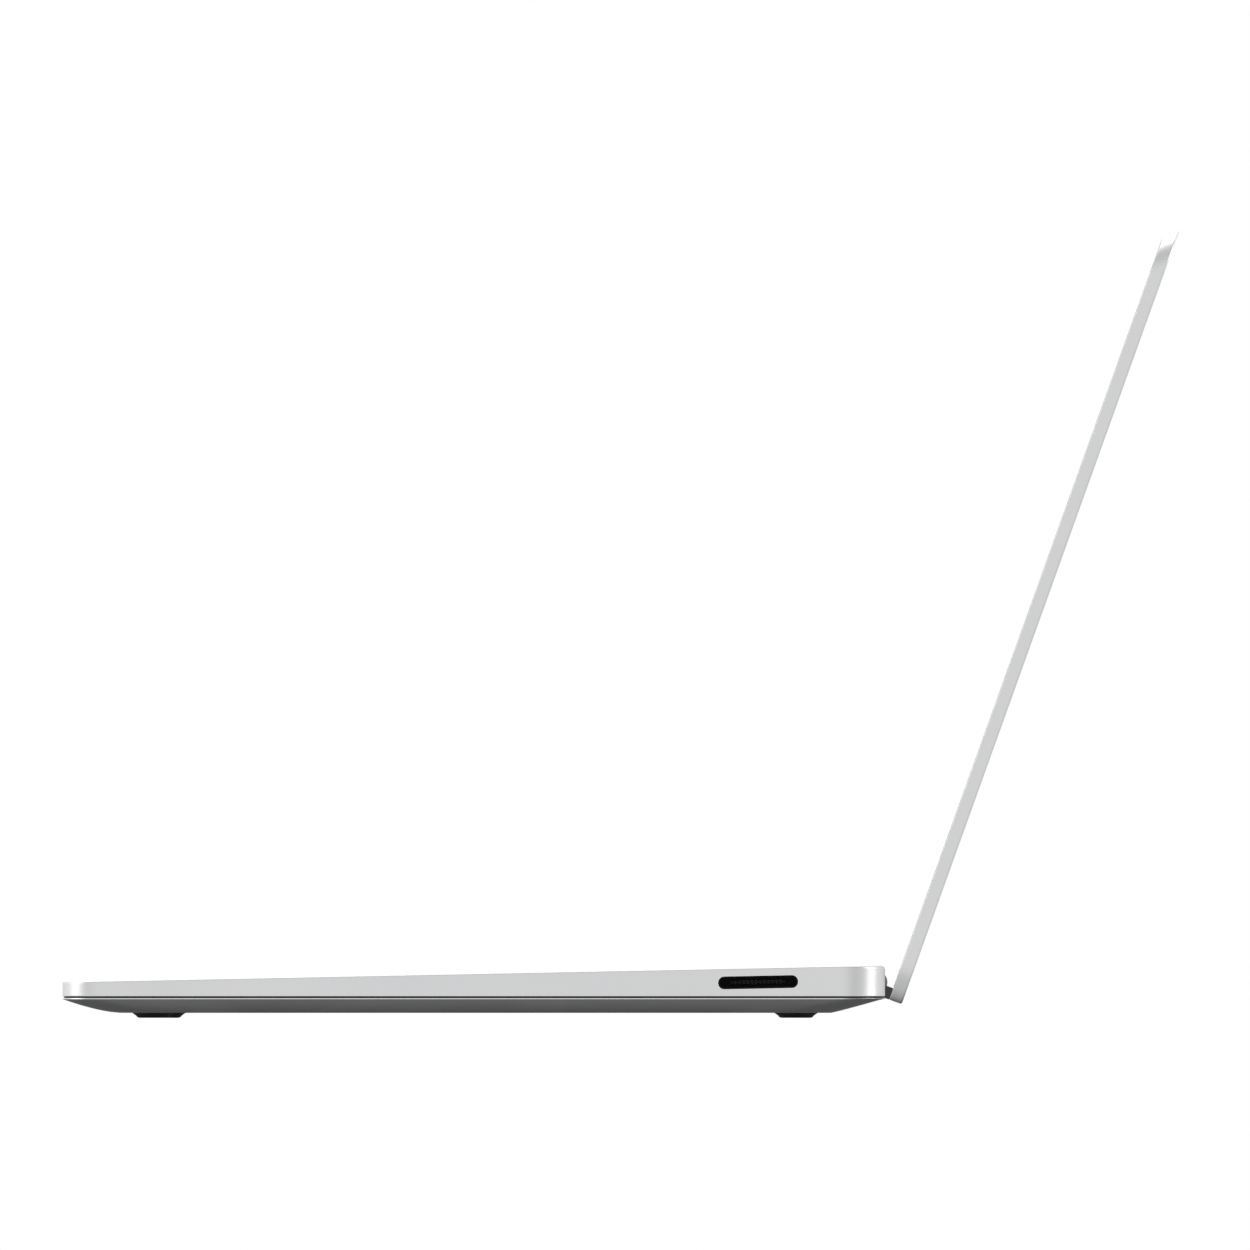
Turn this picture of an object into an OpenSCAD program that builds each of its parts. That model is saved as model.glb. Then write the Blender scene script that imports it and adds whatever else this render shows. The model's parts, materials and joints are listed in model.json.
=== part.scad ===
// Thin wedge-shaped laptop computer, standing open on four feet.
// Millimetres. X runs to the user's right, Y from the front edge to the rear, Z up.
// The origin is the centre of the base's footprint, on the plane of the feet.

/* [Base] */
// Width of the base, side to side
base_w = 301; // [298:1:370]
// Depth of the base, front edge to rear edge
base_d = 220; // [210:1:270]
// Height of the deck at the front edge, above the table
front_h = 9.6; // [9.3:0.1:12]
// Height of the deck at the rear edge, above the table
rear_h = 14.05; // [13.6:0.05:18]
// Plan radius of the four corners
corner_r = 11.5; // [8:0.5:15]
// Thickness of the top case's side walls
wall_t = 1.5; // [1:0.1:2]
// Thickness of the deck
deck_t = 1.2; // [1:0.1:1.4]
// Radius along the deck's rear edge, which the lid swings past
rear_edge_r = 1.2; // [1:0.1:1.6]

/* [Bottom cover] */
// Thickness of the bottom cover
cover_t = 1; // [0.8:0.1:1.2]
// Height of the seam between the bottom cover and the top case
seam_z = 5.35; // [5:0.05:6]
// Width of the groove at the seam
groove = 0.4; // [0.2:0.1:0.6]
// How far the curved edge of the bottom cover reaches in under the front and sides
front_run = 15; // [10:0.5:18]
// How far the straight edge of the bottom cover reaches in at the rear
rear_run = 14.7; // [10:0.1:18]
// Clearance between the cover's lip and the walls of the top case
lip_fit = 0.15; // [0.05:0.05:0.3]

/* [Feet] */
// Gap between the table and the bottom cover
foot_gap = 1.35; // [1:0.05:2]
// Radius of a foot where it meets the cover
foot_r = 5.75; // [4:0.25:8]
// Radius of a foot on the table
foot_tip_r = 4.5; // [3:0.25:6]
// Distance from the front or rear edge to the centre of a foot
foot_in = 24; // [22:0.5:28]
// Distance from the side to the centre of a foot
foot_side = 34; // [30:0.5:40]
// Radius of a case screw's shank
screw_r = 1; // [0.8:0.1:1.2]

/* [Lid and hinge] */
// Thickness of the lid
lid_t = 3.55; // [3.4:0.05:4.5]
// Angle the lid is opened from closed
lid_open = 110.9; // [90:0.1:125]
// Gap between the deck and the lid's inner face when closed
lid_gap = 0.5; // [0.4:0.05:0.8]
// How far the closed lid's free edge stands back from the front edge
lid_setback = 1.15; // [0.5:0.05:2]
// How far the outer face of the lid overhangs the inner face at the free edge
lid_overhang = 2.5; // [1.5:0.1:3]
// Distance of the hinge axis in front of the deck's rear edge
axis_in = 2.45; // [2.3:0.05:2.8]
// Depth of the hinge axis below the deck
axis_depth = 4.4; // [4.2:0.05:4.8]
// How far the lid reaches past the hinge axis
lid_tail = 3.2; // [3:0.05:3.6]
// Length of the notch for the hinge spine
notch_w = 238; // [220:1:250]
// Radius of the hinge pins
pin_r = 1.5; // [1:0.1:1.6]
// Running clearance between a hinge pin and its arm
pin_fit = 0.03; // [0.01:0.01:0.08]
// Distance from the notch's end to the middle of a hinge
hinge_in = 14; // [13:0.5:20]

/* [Display] */
// Width of the black border beside the picture
bezel_side = 4.7; // [4:0.1:8]
// Width of the black border above the picture
bezel_top = 8.5; // [8:0.5:12]
// Width of the black border below the picture
bezel_bottom = 12; // [11:0.5:20]
// Width of the lid's metal rim round the glass
rim_w = 1.1; // [0.8:0.1:1.5]
// Thickness of the cover glass
glass_t = 0.7; // [0.5:0.1:0.9]

/* [Keyboard] */
// Pitch of the square keys
key_unit = 18.4; // [17:0.1:18.7]
// Depth of the row of function keys
fn_pitch = 11; // [9:0.5:13]
// Gap between neighbouring keys
key_gap = 2.4; // [2:0.1:3]
// Clearance between a key and its opening in the deck
key_fit = 0.4; // [0.3:0.05:0.6]
// Travel of a key
key_travel = 1.3; // [1:0.1:1.4]
// Height of a key cap
key_h = 1.9; // [1.6:0.1:2]
// Depth of the key tops below the deck
key_sunk = 0.15; // [0.1:0.05:0.3]
// Distance from the rear edge to the keyboard
keyboard_in = 24; // [23:0.5:30]

/* [Touchpad] */
// Width of the touchpad
pad_w = 115; // [90:1:130]
// Depth of the touchpad
pad_d = 76; // [60:1:80]
// Distance from the front edge to the touchpad
pad_in = 13; // [12:0.5:16]
// Clearance round the touchpad
pad_fit = 0.35; // [0.25:0.05:0.6]

/* [Ports] */
// Length of the charging slot
slot_w = 21.4; // [16:0.1:24]
// Height of the charging slot
slot_h = 3.6; // [3:0.1:4]
// Distance from the rear edge to the middle of the charging slot
slot_in = 34; // [30:0.5:60]
// Height of the bodies of the charging, USB-C and headphone ports
port_body_h = 5; // [4.9:0.1:5.4]
// Radius of the headphone jack's bore
jack_r = 1.8; // [1.75:0.05:2]

/* [Fan] */
// Side of the square fan housing
fan_w = 54; // [44:1:58]
// Radius of the impeller
fan_r = 23; // [18:0.5:24]
// Number of impeller blades
fan_blades = 23; // [15:1:31]

/* [Hidden] */
$fn = 48;

silver = "#c9cbcd";
charcoal = "#2b2c2e";
board_green = "#22503a";

half_w = base_w / 2;
half_d = base_d / 2;
big = 2 * (base_w + base_d);

// The deck slopes up to the rear
slope = atan((rear_h - front_h) / base_d);
deck_len = base_d / cos(slope);
floor_z = foot_gap + cover_t;

// Hinge axis, which runs along X
axis_v = deck_len - axis_in;
axis_y = -half_d + axis_v * cos(slope) + axis_depth * sin(slope);
axis_z = front_h + axis_v * sin(slope) - axis_depth * cos(slope);
axis_to_face = axis_depth + lid_gap;
lid_tilt = lid_open - 90 - slope;
lid_reach = axis_v - lid_setback;
lid_inner_end = lid_reach - lid_overhang;

// Notch for the hinge spine
spine_back = 8;
spine_fit = 0.4;
notch_r = norm([lid_tail, spine_back - axis_to_face]) + spine_fit;
notch_half = notch_w / 2;
notch_y = axis_y - notch_r;
notch_z = axis_z - notch_r;
notch_wall = 1.2;
notch_top = seam_z + groove - lip_fit;
hinge_x = notch_half - hinge_in;
knuckle_r = 3;
knuckle_w = 8;
ear_w = 4.6;
ear_gap = 0.2;
ear_r = 2.6;
pin_half = knuckle_w / 2 + ear_gap + ear_w;
hinge_slot = pin_half + 0.6;
bracket_z = 5.4;
bracket_t = 1.2;
bracket_half = 17;
boss_r = 2.4;
bracket_outer = max(hinge_x + bracket_half, half_w - foot_side + boss_r + 1);
bracket_y = half_d - 30;
bracket_end = notch_y - notch_wall - 0.3;
boss_in = 16;
boss_y = half_d - boss_in;
cover_boss_z = floor_z + 1;
boss_xs = [-12, 13];
screw_fit = 0.05;
foot_sunk = 0.6;
foot_fit = 0.1;
lip_root = 0.2;
lip_h = 0.95;
head_r = 2;
head_h = 0.6;

// Where things lie on the deck, measured from the front edge along the slope
keyboard_units = 15;
keyboard_w = keyboard_units * key_unit;
keyboard_d = 5 * key_unit + fn_pitch;
keyboard_v = deck_len - keyboard_in - keyboard_d;
plate_margin = 2;
plate_drop = key_sunk + key_h + key_travel + 0.2;
plate_t = 0.5;
membrane_t = 0.2;
glass_pad_t = 0.6;
board_pad_t = 0.8;
pad_drop = 2.6;
pad_travel = 0.5;
frame_t = 0.5;

// Insides that stand on the floor
inner_gap = 0.25;
battery_w = 190;
battery_d = 78;
battery_h = 3.8;
battery_y = -half_d + front_run + 2;
board_x = -118;
board_w = 143;
board_y = half_d - 116;
board_d = 74;
board_z = floor_z + 1.2;
board_t = 1;
chip_x = -20;
chip_y = board_y + 26;
chip_w = 30;
chip_d = 24;
chip_h = 1.2;
pipe_w = 8;
pipe_t = 1.1;
fan_x = 58;
fan_y = half_d - 63;
fan_h = 4.3;
fin_y = fan_y + fan_w / 2 + 0.5;
fin_d = half_d - 20 - fin_y;
fin_h = board_z + board_t + chip_h - floor_z - inner_gap;
port_in = 7;
port_wall_x = half_w - wall_t;
usb_c_rear_in = 28;
usb_c_front_in = 44;
usb_a_in = 65;
port_depth = deck_t + 0.05 + port_body_h / 2;
usb_a_depth = port_depth + 0.55;
jack_in = 84;
usb_c_slot = [9, 3.3];
usb_a_slot = [13, 5.1];
port_x = port_wall_x - port_in;

// Position of each key in its row, as [units from the left, width in units]
function run(start, count) = [for (i = [0:count - 1]) [start + i, 1]];
at_function = run(0, 15);
at_number = run(0, 13);
at_backspace = [[13, 2]];
at_tab = [[0, 1.5]];
at_upper = run(1.5, 12);
at_backslash = [[13.5, 1.5]];
at_caps = [[0, 1.75]];
at_home = run(1.75, 11);
at_enter = [[12.75, 2.25]];
at_shift_left = [[0, 2.25]];
at_lower = run(2.25, 10);
at_shift_right = [[12.25, 2.75]];
at_modifier = [[0, 1.25], [1.25, 1], [2.25, 1], [3.25, 1.25], [10, 1], [11, 1]];
at_space = [[4.5, 5.5]];
at_arrow_low = run(12, 3);
at_arrow_up = [[13, 1]];
half_key = key_unit / 2;

// Height just inside the deck, at a distance from the front edge
function under_z(from_front) = front_h + from_front * tan(slope) - deck_t + 0.3;

// Places the children on the deck: X as before, Y along the slope, Z square to the deck
module on_deck() {
    translate([0, -half_d, front_h])
        rotate([slope, 0, 0])
            children();
}

// Places the children in the lid: Y towards the free edge, Z = 0 on the inner face
module in_lid() {
    translate([0, axis_y, axis_z])
        rotate([90 - lid_tilt, 0, 0])
            translate([0, 0, -axis_to_face])
                children();
}

// A box from one corner to the opposite one
module span(low, high) {
    translate(low)
        cube(high - low);
}

// The same box on both sides of X = 0
module span_both(low, high) {
    span(low, high);
    mirror([1, 0, 0])
        span(low, high);
}

// Rectangle with true round corners, centred
module round_rect(size, r) {
    square([size.x - 2 * r, size.y], center = true);
    square([size.x, size.y - 2 * r], center = true);
    for (sx = [-1, 1], sy = [-1, 1])
        translate([sx * (size.x / 2 - r), sy * (size.y / 2 - r)])
            circle(r);
}

// Slot with round ends along Y, pushed through the side wall along X
module side_slot(w, h, x0, x1) {
    for (s = [-1, 1])
        translate([x0, s * (w - h) / 2, 0])
            rotate([0, 90, 0])
                cylinder(r = h / 2, h = x1 - x0);
    span([x0, -(w - h) / 2, -h / 2], [x1, (w - h) / 2, h / 2]);
}

// Everything more than a given depth below the deck
module below_deck(depth) {
    on_deck()
        span([-big, -big, -big], [big, big, -depth]);
}

module base_plan(inset) {
    round_rect([base_w - 2 * inset, base_d - 2 * inset], corner_r - inset);
}

// The space that the hinge spine turns in
module notch(margin) {
    span(
        [-notch_half - margin, notch_y - margin, notch_z],
        [notch_half + margin, half_d + wall_t, rear_h + wall_t]
    );
}

// Places the children at a port: on the right side with side = 1, on the left with side = -1
module at_port(from_rear, depth, side) {
    on_deck()
        translate([0, deck_len - from_rear, -depth])
            mirror([side < 0 ? 1 : 0, 0, 0])
                children();
}

// Room for the bodies of the ports, inside the side walls
module port_rooms() {
    at_port(slot_in, port_depth, 1)
        port_block([slot_w + 2, port_body_h], lip_fit);
    for (y = [usb_c_rear_in, usb_c_front_in])
        at_port(y, port_depth, -1)
            port_block([usb_c_slot.x + 1.4, port_body_h - 0.3], lip_fit);
    at_port(usb_a_in, usb_a_depth, -1)
        port_block(usb_a_slot + [0.6, 0.5], lip_fit);
    at_port(jack_in, port_depth, -1)
        port_block([6.4, port_body_h], lip_fit);
}

module port_block(size, grow) {
    half = size / 2 + [grow, grow];
    span([port_x, -half.x, -half.y], [port_wall_x, half.x, half.y]);
}

// Base shells

module keyboard_openings(grow) {
    for (k = at_function)
        key_outline(k, 5, 0, fn_pitch, grow);
    for (k = concat(at_number, at_backspace))
        key_outline(k, 4, 0, key_unit, grow);
    for (k = concat(at_tab, at_upper, at_backslash))
        key_outline(k, 3, 0, key_unit, grow);
    for (k = concat(at_caps, at_home, at_enter))
        key_outline(k, 2, 0, key_unit, grow);
    for (k = concat(at_shift_left, at_lower, at_shift_right))
        key_outline(k, 1, 0, key_unit, grow);
    for (k = concat(at_modifier, at_space))
        key_outline(k, 0, 0, key_unit, grow);
    for (k = at_arrow_low)
        key_outline(k, 0, 0, half_key, grow);
    for (k = at_arrow_up)
        key_outline(k, 0, half_key, half_key, grow);
}

// Corner and size of one key in its row, grown by its clearance
function key_low(k, row, up, grow) = [
    k[0] * key_unit - keyboard_w / 2 + key_gap / 2 - grow,
    keyboard_v + row * key_unit + up + key_gap / 2 - grow
];
function key_size(k, depth, grow) =
    [k[1] * key_unit - key_gap + 2 * grow, depth - key_gap + 2 * grow];

module key_outline(k, row, up, depth, grow) {
    translate(key_low(k, row, up, grow))
        square(key_size(k, depth, grow));
}

module case_cavity() {
    intersection() {
        linear_extrude(rear_h)
            base_plan(wall_t);
        below_deck(deck_t);
    }
}

module case_bosses() {
    for (s = [-1, 1]) {
        translate([s * (half_w - foot_side), -half_d + foot_in, cover_boss_z])
            cylinder(r = boss_r, h = under_z(foot_in) - cover_boss_z);
        for (x = boss_xs)
            translate([s * (hinge_x + x), boss_y, bracket_z + bracket_t])
                cylinder(r = boss_r, h = under_z(base_d - boss_in) - bracket_z - bracket_t);
    }
}

module case_screw_holes() {
    for (s = [-1, 1]) {
        translate([s * (half_w - foot_side), -half_d + foot_in, 0])
            cylinder(r = screw_r + screw_fit, h = under_z(foot_in) - 0.8);
        for (x = boss_xs)
            translate([s * (hinge_x + x), boss_y, 0])
                cylinder(r = screw_r + screw_fit, h = under_z(base_d - boss_in) - 0.8);
    }
}

// Cuts the square rear edge of the deck back to a radius
module rear_edge_cut() {
    on_deck()
        translate([0, deck_len, 0])
            difference() {
                span([-big, -rear_edge_r, -rear_edge_r], [big, wall_t, wall_t]);
                translate([-big, -rear_edge_r, -rear_edge_r])
                    rotate([0, 90, 0])
                        cylinder(r = rear_edge_r, h = 2 * big);
            }
}

module exhaust_slots() {
    pitch = 3.6;
    count = floor(fan_w / pitch);
    for (i = [0:count - 1]) {
        x = fan_x + (i - (count - 1) / 2) * pitch;
        span([x - 1, notch_y - notch_wall - 1, bracket_z], [x + 1, notch_y + 1, bracket_z + 5]);
    }
}

module hinge_slots() {
    span_both(
        [hinge_x - hinge_slot, notch_y - notch_wall - 1, axis_z - knuckle_r - 0.6],
        [hinge_x + hinge_slot, notch_y + 1, axis_z + knuckle_r]
    );
}

module port_openings() {
    x0 = port_wall_x - 1;
    x1 = half_w + 1;
    at_port(slot_in, port_depth, 1)
        side_slot(slot_w, slot_h, x0, x1);
    for (y = [usb_c_rear_in, usb_c_front_in])
        at_port(y, port_depth, -1)
            side_slot(usb_c_slot.x, usb_c_slot.y, x0, x1);
    at_port(usb_a_in, usb_a_depth, -1)
        span([x0, -usb_a_slot.x / 2, -usb_a_slot.y / 2], [x1, usb_a_slot.x / 2, usb_a_slot.y / 2]);
    at_port(jack_in, port_depth, -1)
        translate([x0, 0, 0])
            rotate([0, 90, 0])
                cylinder(r = jack_r + 0.3, h = wall_t + 2);
}

module top_case() {
    color(silver)
        difference() {
            union() {
                difference() {
                    intersection() {
                        translate([0, 0, seam_z + groove])
                            linear_extrude(rear_h)
                                base_plan(0);
                        below_deck(0);
                    }
                    difference() {
                        case_cavity();
                        notch(notch_wall);
                    }
                }
                case_bosses();
            }
            notch(0);
            hinge_slots();
            exhaust_slots();
            rear_edge_cut();
            case_screw_holes();
            port_openings();
            on_deck() {
                translate([0, 0, -deck_t - 1])
                    linear_extrude(deck_t + 2)
                        keyboard_openings(key_fit);
                span(
                    [-pad_w / 2 - pad_fit, pad_in - pad_fit, -deck_t - 1],
                    [pad_w / 2 + pad_fit, pad_in + pad_d + pad_fit, 1]
                );
            }
        }
}

// Points of the curved edge that turns the cover's side under, from the seam to the floor
function edge_curve(run_in, rise, bend) =
    [for (i = [0:6]) let (t = i / 6) [run_in * t, rise * pow(1 - t, bend)]];

// Section of the cover: flat floor, one edge at each end
module cover_section(length, run_a, bend_a, run_b, bend_b, inset) {
    rise = seam_z - foot_gap;
    a = edge_curve(run_a, rise, bend_a);
    b = edge_curve(run_b, rise, bend_b);
    half = length / 2 - inset;
    polygon(concat(
        [for (p = a) [-half + p.x, p.y]],
        [for (i = [6:-1:0]) [half - b[i].x, b[i].y]],
        [[half, rise + 1], [-half, rise + 1]]
    ));
}

module cover_solid(inset, lift) {
    intersection() {
        translate([0, 0, foot_gap + lift])
            linear_extrude(seam_z - foot_gap + (lift > 0 ? 1 : 0) - lift)
                base_plan(inset);
        translate([-half_w, 0, foot_gap + lift])
            rotate([90, 0, 90])
                linear_extrude(base_w)
                    cover_section(base_d, front_run, 1.5, rear_run, 1, inset);
        translate([0, half_d, foot_gap + lift])
            rotate([90, 0, 0])
                linear_extrude(base_d)
                    cover_section(base_w, front_run, 1.5, front_run, 1.5, inset);
    }
}

module at_feet() {
    for (sx = [-1, 1], sy = [-1, 1])
        translate([sx * (half_w - foot_side), sy * (half_d - foot_in), 0])
            children();
}

module bottom_cover() {
    lip_in = wall_t + lip_fit;
    color(silver)
        difference() {
            union() {
                difference() {
                    cover_solid(0, 0);
                    cover_solid(cover_t, cover_t);
                }
                translate([0, 0, seam_z - lip_root])
                    linear_extrude(lip_root + lip_h)
                        difference() {
                            base_plan(lip_in);
                            base_plan(lip_in + cover_t);
                        }
                span(
                    [-notch_half - notch_wall, notch_y - notch_wall, notch_z - cover_t],
                    [notch_half + notch_wall, notch_y, notch_top]
                );
                at_feet()
                    translate([0, 0, foot_gap])
                        cylinder(r = foot_r + 1, h = cover_boss_z - foot_gap);
            }
            notch(0);
            span(
                [-notch_half - notch_wall - lip_fit, notch_y - notch_wall - lip_fit, notch_top],
                [notch_half + notch_wall + lip_fit, half_d, rear_h]
            );
            port_rooms();
            at_feet() {
                cylinder(r = foot_r + foot_fit, h = foot_gap + foot_sunk);
                cylinder(r = screw_r + 4 * screw_fit, h = cover_boss_z + 1);
                cylinder(r = head_r + foot_fit, h = foot_gap + foot_sunk + head_h);
            }
        }
}

module foot(sx, sy) {
    color("#161616")
        translate([sx * (half_w - foot_side), sy * (half_d - foot_in), 0]) {
            cylinder(r1 = foot_tip_r, r2 = foot_r, h = foot_gap);
            translate([0, 0, foot_gap])
                cylinder(r = foot_r, h = foot_sunk);
        }
}

module foot_front_left() { foot(-1, -1); }
module foot_front_right() { foot(1, -1); }
module foot_rear_left() { foot(-1, 1); }
module foot_rear_right() { foot(1, 1); }

module case_screws() {
    color("#77797c")
        at_feet() {
            translate([0, 0, foot_gap + foot_sunk])
                cylinder(r = head_r, h = head_h);
            translate([0, 0, foot_gap + foot_sunk])
                cylinder(r = screw_r, h = bracket_z + bracket_t - foot_gap - foot_sunk);
        }
}

// Keyboard

module keyboard_plate() {
    low = [-keyboard_w / 2 - plate_margin, keyboard_v - plate_margin];
    high = [keyboard_w / 2 + plate_margin, keyboard_v + keyboard_d + plate_margin];
    top = -plate_drop - membrane_t;
    color("#8d9092")
        on_deck() {
            span([low.x, low.y, top - plate_t], [high.x, high.y, top]);
            difference() {
                span([low.x, low.y, top - plate_t], [high.x, high.y, -deck_t]);
                span([low.x + 1, low.y + 1, top - 1], [high.x - 1, high.y - 1, 0]);
            }
        }
}

module keyboard_membrane() {
    in = plate_margin - 1 - inner_gap;
    low = [-keyboard_w / 2 - in, keyboard_v - in, -plate_drop - membrane_t];
    color("#3a3d42")
        on_deck()
            span(low, [-low.x, keyboard_v + keyboard_d + in, -plate_drop]);
}

// A hollow cap with cut corners
module cap(k, row, up, depth) {
    low = key_low(k, row, up, 0);
    s = key_size(k, depth, 0);
    c = 1;
    skin = 0.8;
    translate([low.x, low.y, -key_sunk - key_h])
        difference() {
            linear_extrude(key_h)
                polygon([
                    [c, 0], [s.x - c, 0], [s.x, c], [s.x, s.y - c],
                    [s.x - c, s.y], [c, s.y], [0, s.y - c], [0, c]
                ]);
            span([skin, skin, -1], [s.x - skin, s.y - skin, key_h - skin]);
        }
}

module key_row(keys, row) {
    color("#b9bbbd")
        on_deck()
            for (k = keys)
                cap(k, row, 0, row == 5 ? fn_pitch : key_unit);
}

module keys_function() { key_row(at_function, 5); }
module keys_number() { key_row(at_number, 4); }
module key_backspace() { key_row(at_backspace, 4); }
module key_tab() { key_row(at_tab, 3); }
module keys_upper() { key_row(at_upper, 3); }
module key_backslash() { key_row(at_backslash, 3); }
module key_caps() { key_row(at_caps, 2); }
module keys_home() { key_row(at_home, 2); }
module key_enter() { key_row(at_enter, 2); }
module key_shift_left() { key_row(at_shift_left, 1); }
module keys_lower() { key_row(at_lower, 1); }
module key_shift_right() { key_row(at_shift_right, 1); }
module keys_modifier() { key_row(at_modifier, 0); }
module key_space() { key_row(at_space, 0); }

module keys_arrow() {
    color("#b9bbbd")
        on_deck() {
            for (k = at_arrow_low)
                cap(k, 0, 0, half_key);
            for (k = at_arrow_up)
                cap(k, 0, half_key, half_key);
        }
}

// Touchpad, which turns about its rear edge

module touchpad_glass() {
    color("#bcbec0")
        on_deck()
            span([-pad_w / 2, pad_in, -glass_pad_t], [pad_w / 2, pad_in + pad_d, 0]);
}

module touchpad_board() {
    color(board_green)
        on_deck()
            span(
                [-pad_w / 2 + 1.5, pad_in + 1.5, -glass_pad_t - board_pad_t],
                [pad_w / 2 - 1.5, pad_in + pad_d - 1.5, -glass_pad_t]
            );
}

module touchpad_frame() {
    rail = pad_w / 2 + pad_fit + 1.5;
    color("#8d9092")
        on_deck() {
            span([-rail - 1.5, pad_in, -pad_drop - frame_t], [rail + 1.5, pad_in + pad_d, -pad_drop]);
            span_both([rail, pad_in, -pad_drop - frame_t], [rail + 1.5, pad_in + pad_d, -deck_t]);
        }
}

module touchpad_switch() {
    room = pad_drop - glass_pad_t - board_pad_t - pad_travel;
    color("#c8c2b0")
        on_deck()
            translate([0, pad_in + 8, -pad_drop]) {
                span([-4, -4, 0], [4, 4, room / 3]);
                cylinder(r = 2.5, h = room - 0.05);
            }
}

// Insides of the base

module battery_cells() {
    gap = 1.5;
    cell_w = (battery_w - 3 * gap) / 4;
    color("#1c1d20")
        for (i = [0:3])
            translate([-battery_w / 2 + i * (cell_w + gap), battery_y, floor_z + inner_gap])
                cube([cell_w, battery_d, battery_h]);
}

module mainboard() {
    color(board_green)
        difference() {
            translate([board_x, board_y, board_z])
                cube([board_w, board_d, board_t]);
            for (x = [board_x + 5, board_x + board_w - 5], y = [board_y + 5, board_y + board_d - 5])
                translate([x, y, board_z - 1])
                    cylinder(r = 1.2, h = board_t + 2);
        }
}

module processor() {
    color("#9aa0a4")
        translate([chip_x, chip_y, board_z + board_t])
            cube([chip_w, chip_d, chip_h]);
}

module memory_chips() {
    color("#1a1a1c")
        for (i = [0:3])
            translate([chip_x - 16, board_y + 8 + i * 15, board_z + board_t])
                cube([9, 12, 0.9]);
}

module heat_pipe() {
    z = board_z + board_t + chip_h;
    left = chip_x + chip_w / 2 - pipe_w / 2;
    rear = fin_y + fin_d / 2 + pipe_w / 2;
    color("#b87349") {
        span([left, chip_y, z], [left + pipe_w, rear, z + pipe_t]);
        span([left, rear - pipe_w, z], [fan_x + fan_w / 2, rear, z + pipe_t]);
    }
}

module fin_stack() {
    pitch = 1.8;
    color("#c0c2c4")
        translate([fan_x - fan_w / 2, fin_y, floor_z + inner_gap]) {
            translate([0, 0, fin_h - 0.4])
                cube([fan_w, fin_d, 0.4]);
            for (i = [0:floor(fan_w / pitch) - 1])
                translate([i * pitch, 0, 0])
                    cube([0.3, fin_d, fin_h]);
        }
}

module fan_housing() {
    skin = 0.5;
    color("#26272a")
        translate([fan_x, fan_y, floor_z + inner_gap]) {
            difference() {
                translate([-fan_w / 2, -fan_w / 2, 0])
                    cube([fan_w, fan_w, fan_h]);
                translate([0, 0, skin])
                    cylinder(r = fan_r + 1, h = fan_h - 2 * skin);
                translate([-fan_r, 0, skin])
                    cube([2 * fan_r, fan_w, fan_h - 2 * skin]);
                translate([0, 0, fan_h - 1])
                    cylinder(r = fan_r * 0.62, h = 2);
            }
            cylinder(r = pin_r, h = fan_h - skin);
        }
}

module fan_impeller() {
    play = 0.35;
    hub_r = 6.5;
    blade_h = fan_h - 1 - 2 * play;
    color("#34363a")
        translate([fan_x, fan_y, floor_z + inner_gap + 0.5 + play])
            difference() {
                union() {
                    cylinder(r = hub_r, h = blade_h);
                    for (i = [0:fan_blades - 1])
                        rotate([0, 0, i * 360 / fan_blades])
                            translate([hub_r - 0.5, 1.2, 0])
                                rotate([0, 0, 14])
                                    cube([fan_r - hub_r - 1, 0.7, blade_h]);
                    difference() {
                        cylinder(r = fan_r, h = 0.6);
                        translate([0, 0, -1])
                            cylinder(r = fan_r - 2, h = 3);
                    }
                }
                translate([0, 0, -1])
                    cylinder(r = pin_r + pin_fit, h = blade_h + 2);
            }
}

module ssd_card() {
    color("#17324a")
        translate([board_x + 14, board_y + 10, board_z + board_t])
            cube([22, 42, 1.4]);
}

module speaker(side) {
    color("#202124")
        difference() {
            span(
                [side * (half_w - 27) - 11, -half_d + 40, floor_z + inner_gap],
                [side * (half_w - 27) + 11, -half_d + 92, floor_z + inner_gap + 4]
            );
            translate([side * (half_w - 27), -half_d + 56, floor_z + inner_gap + 3])
                cylinder(r = 8, h = 2);
        }
}

module speaker_left() { speaker(-1); }
module speaker_right() { speaker(1); }

// Ports, each a block with its opening and tongue

module charge_port() {
    lip = 0.4;
    color("#1b1c1e")
        at_port(slot_in, port_depth, 1) {
            difference() {
                port_block([slot_w + 2, port_body_h], 0);
                side_slot(slot_w - 2 * lip, slot_h - 2 * lip, port_x + 2, port_wall_x + 1);
            }
            span([port_x + 1, -7.5, -0.45], [port_wall_x - 1.2, 7.5, 0.45]);
        }
}

module usb_c(from_rear) {
    color("#1b1c1e")
        at_port(from_rear, port_depth, -1) {
            difference() {
                port_block([usb_c_slot.x + 1.4, port_body_h - 0.3], 0);
                side_slot(usb_c_slot.x - 0.6, usb_c_slot.y - 0.6, port_x + 1, port_wall_x + 1);
            }
            span([port_x + 0.5, -3.35, -0.35], [port_wall_x - 0.8, 3.35, 0.35]);
        }
}

module usb_c_front() { usb_c(usb_c_front_in); }
module usb_c_rear() { usb_c(usb_c_rear_in); }

module usb_a_port() {
    s = usb_a_slot / 2;
    color("#1b1c1e")
        at_port(usb_a_in, usb_a_depth, -1) {
            difference() {
                port_block(usb_a_slot + [0.6, 0.5], 0);
                span([port_x + 1, -s.x + 0.2, -s.y + 0.1], [port_wall_x + 1, s.x - 0.2, s.y - 0.1]);
            }
            span([port_x + 0.5, -5.6, 0.3], [port_wall_x - 0.8, 5.6, 2.1]);
        }
}

module audio_jack() {
    color("#1b1c1e")
        at_port(jack_in, port_depth, -1)
            difference() {
                port_block([6.4, port_body_h], 0);
                translate([port_x - 1, 0, 0])
                    rotate([0, 90, 0])
                        cylinder(r = jack_r, h = port_in + 2);
            }
}

// Hinges

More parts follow.
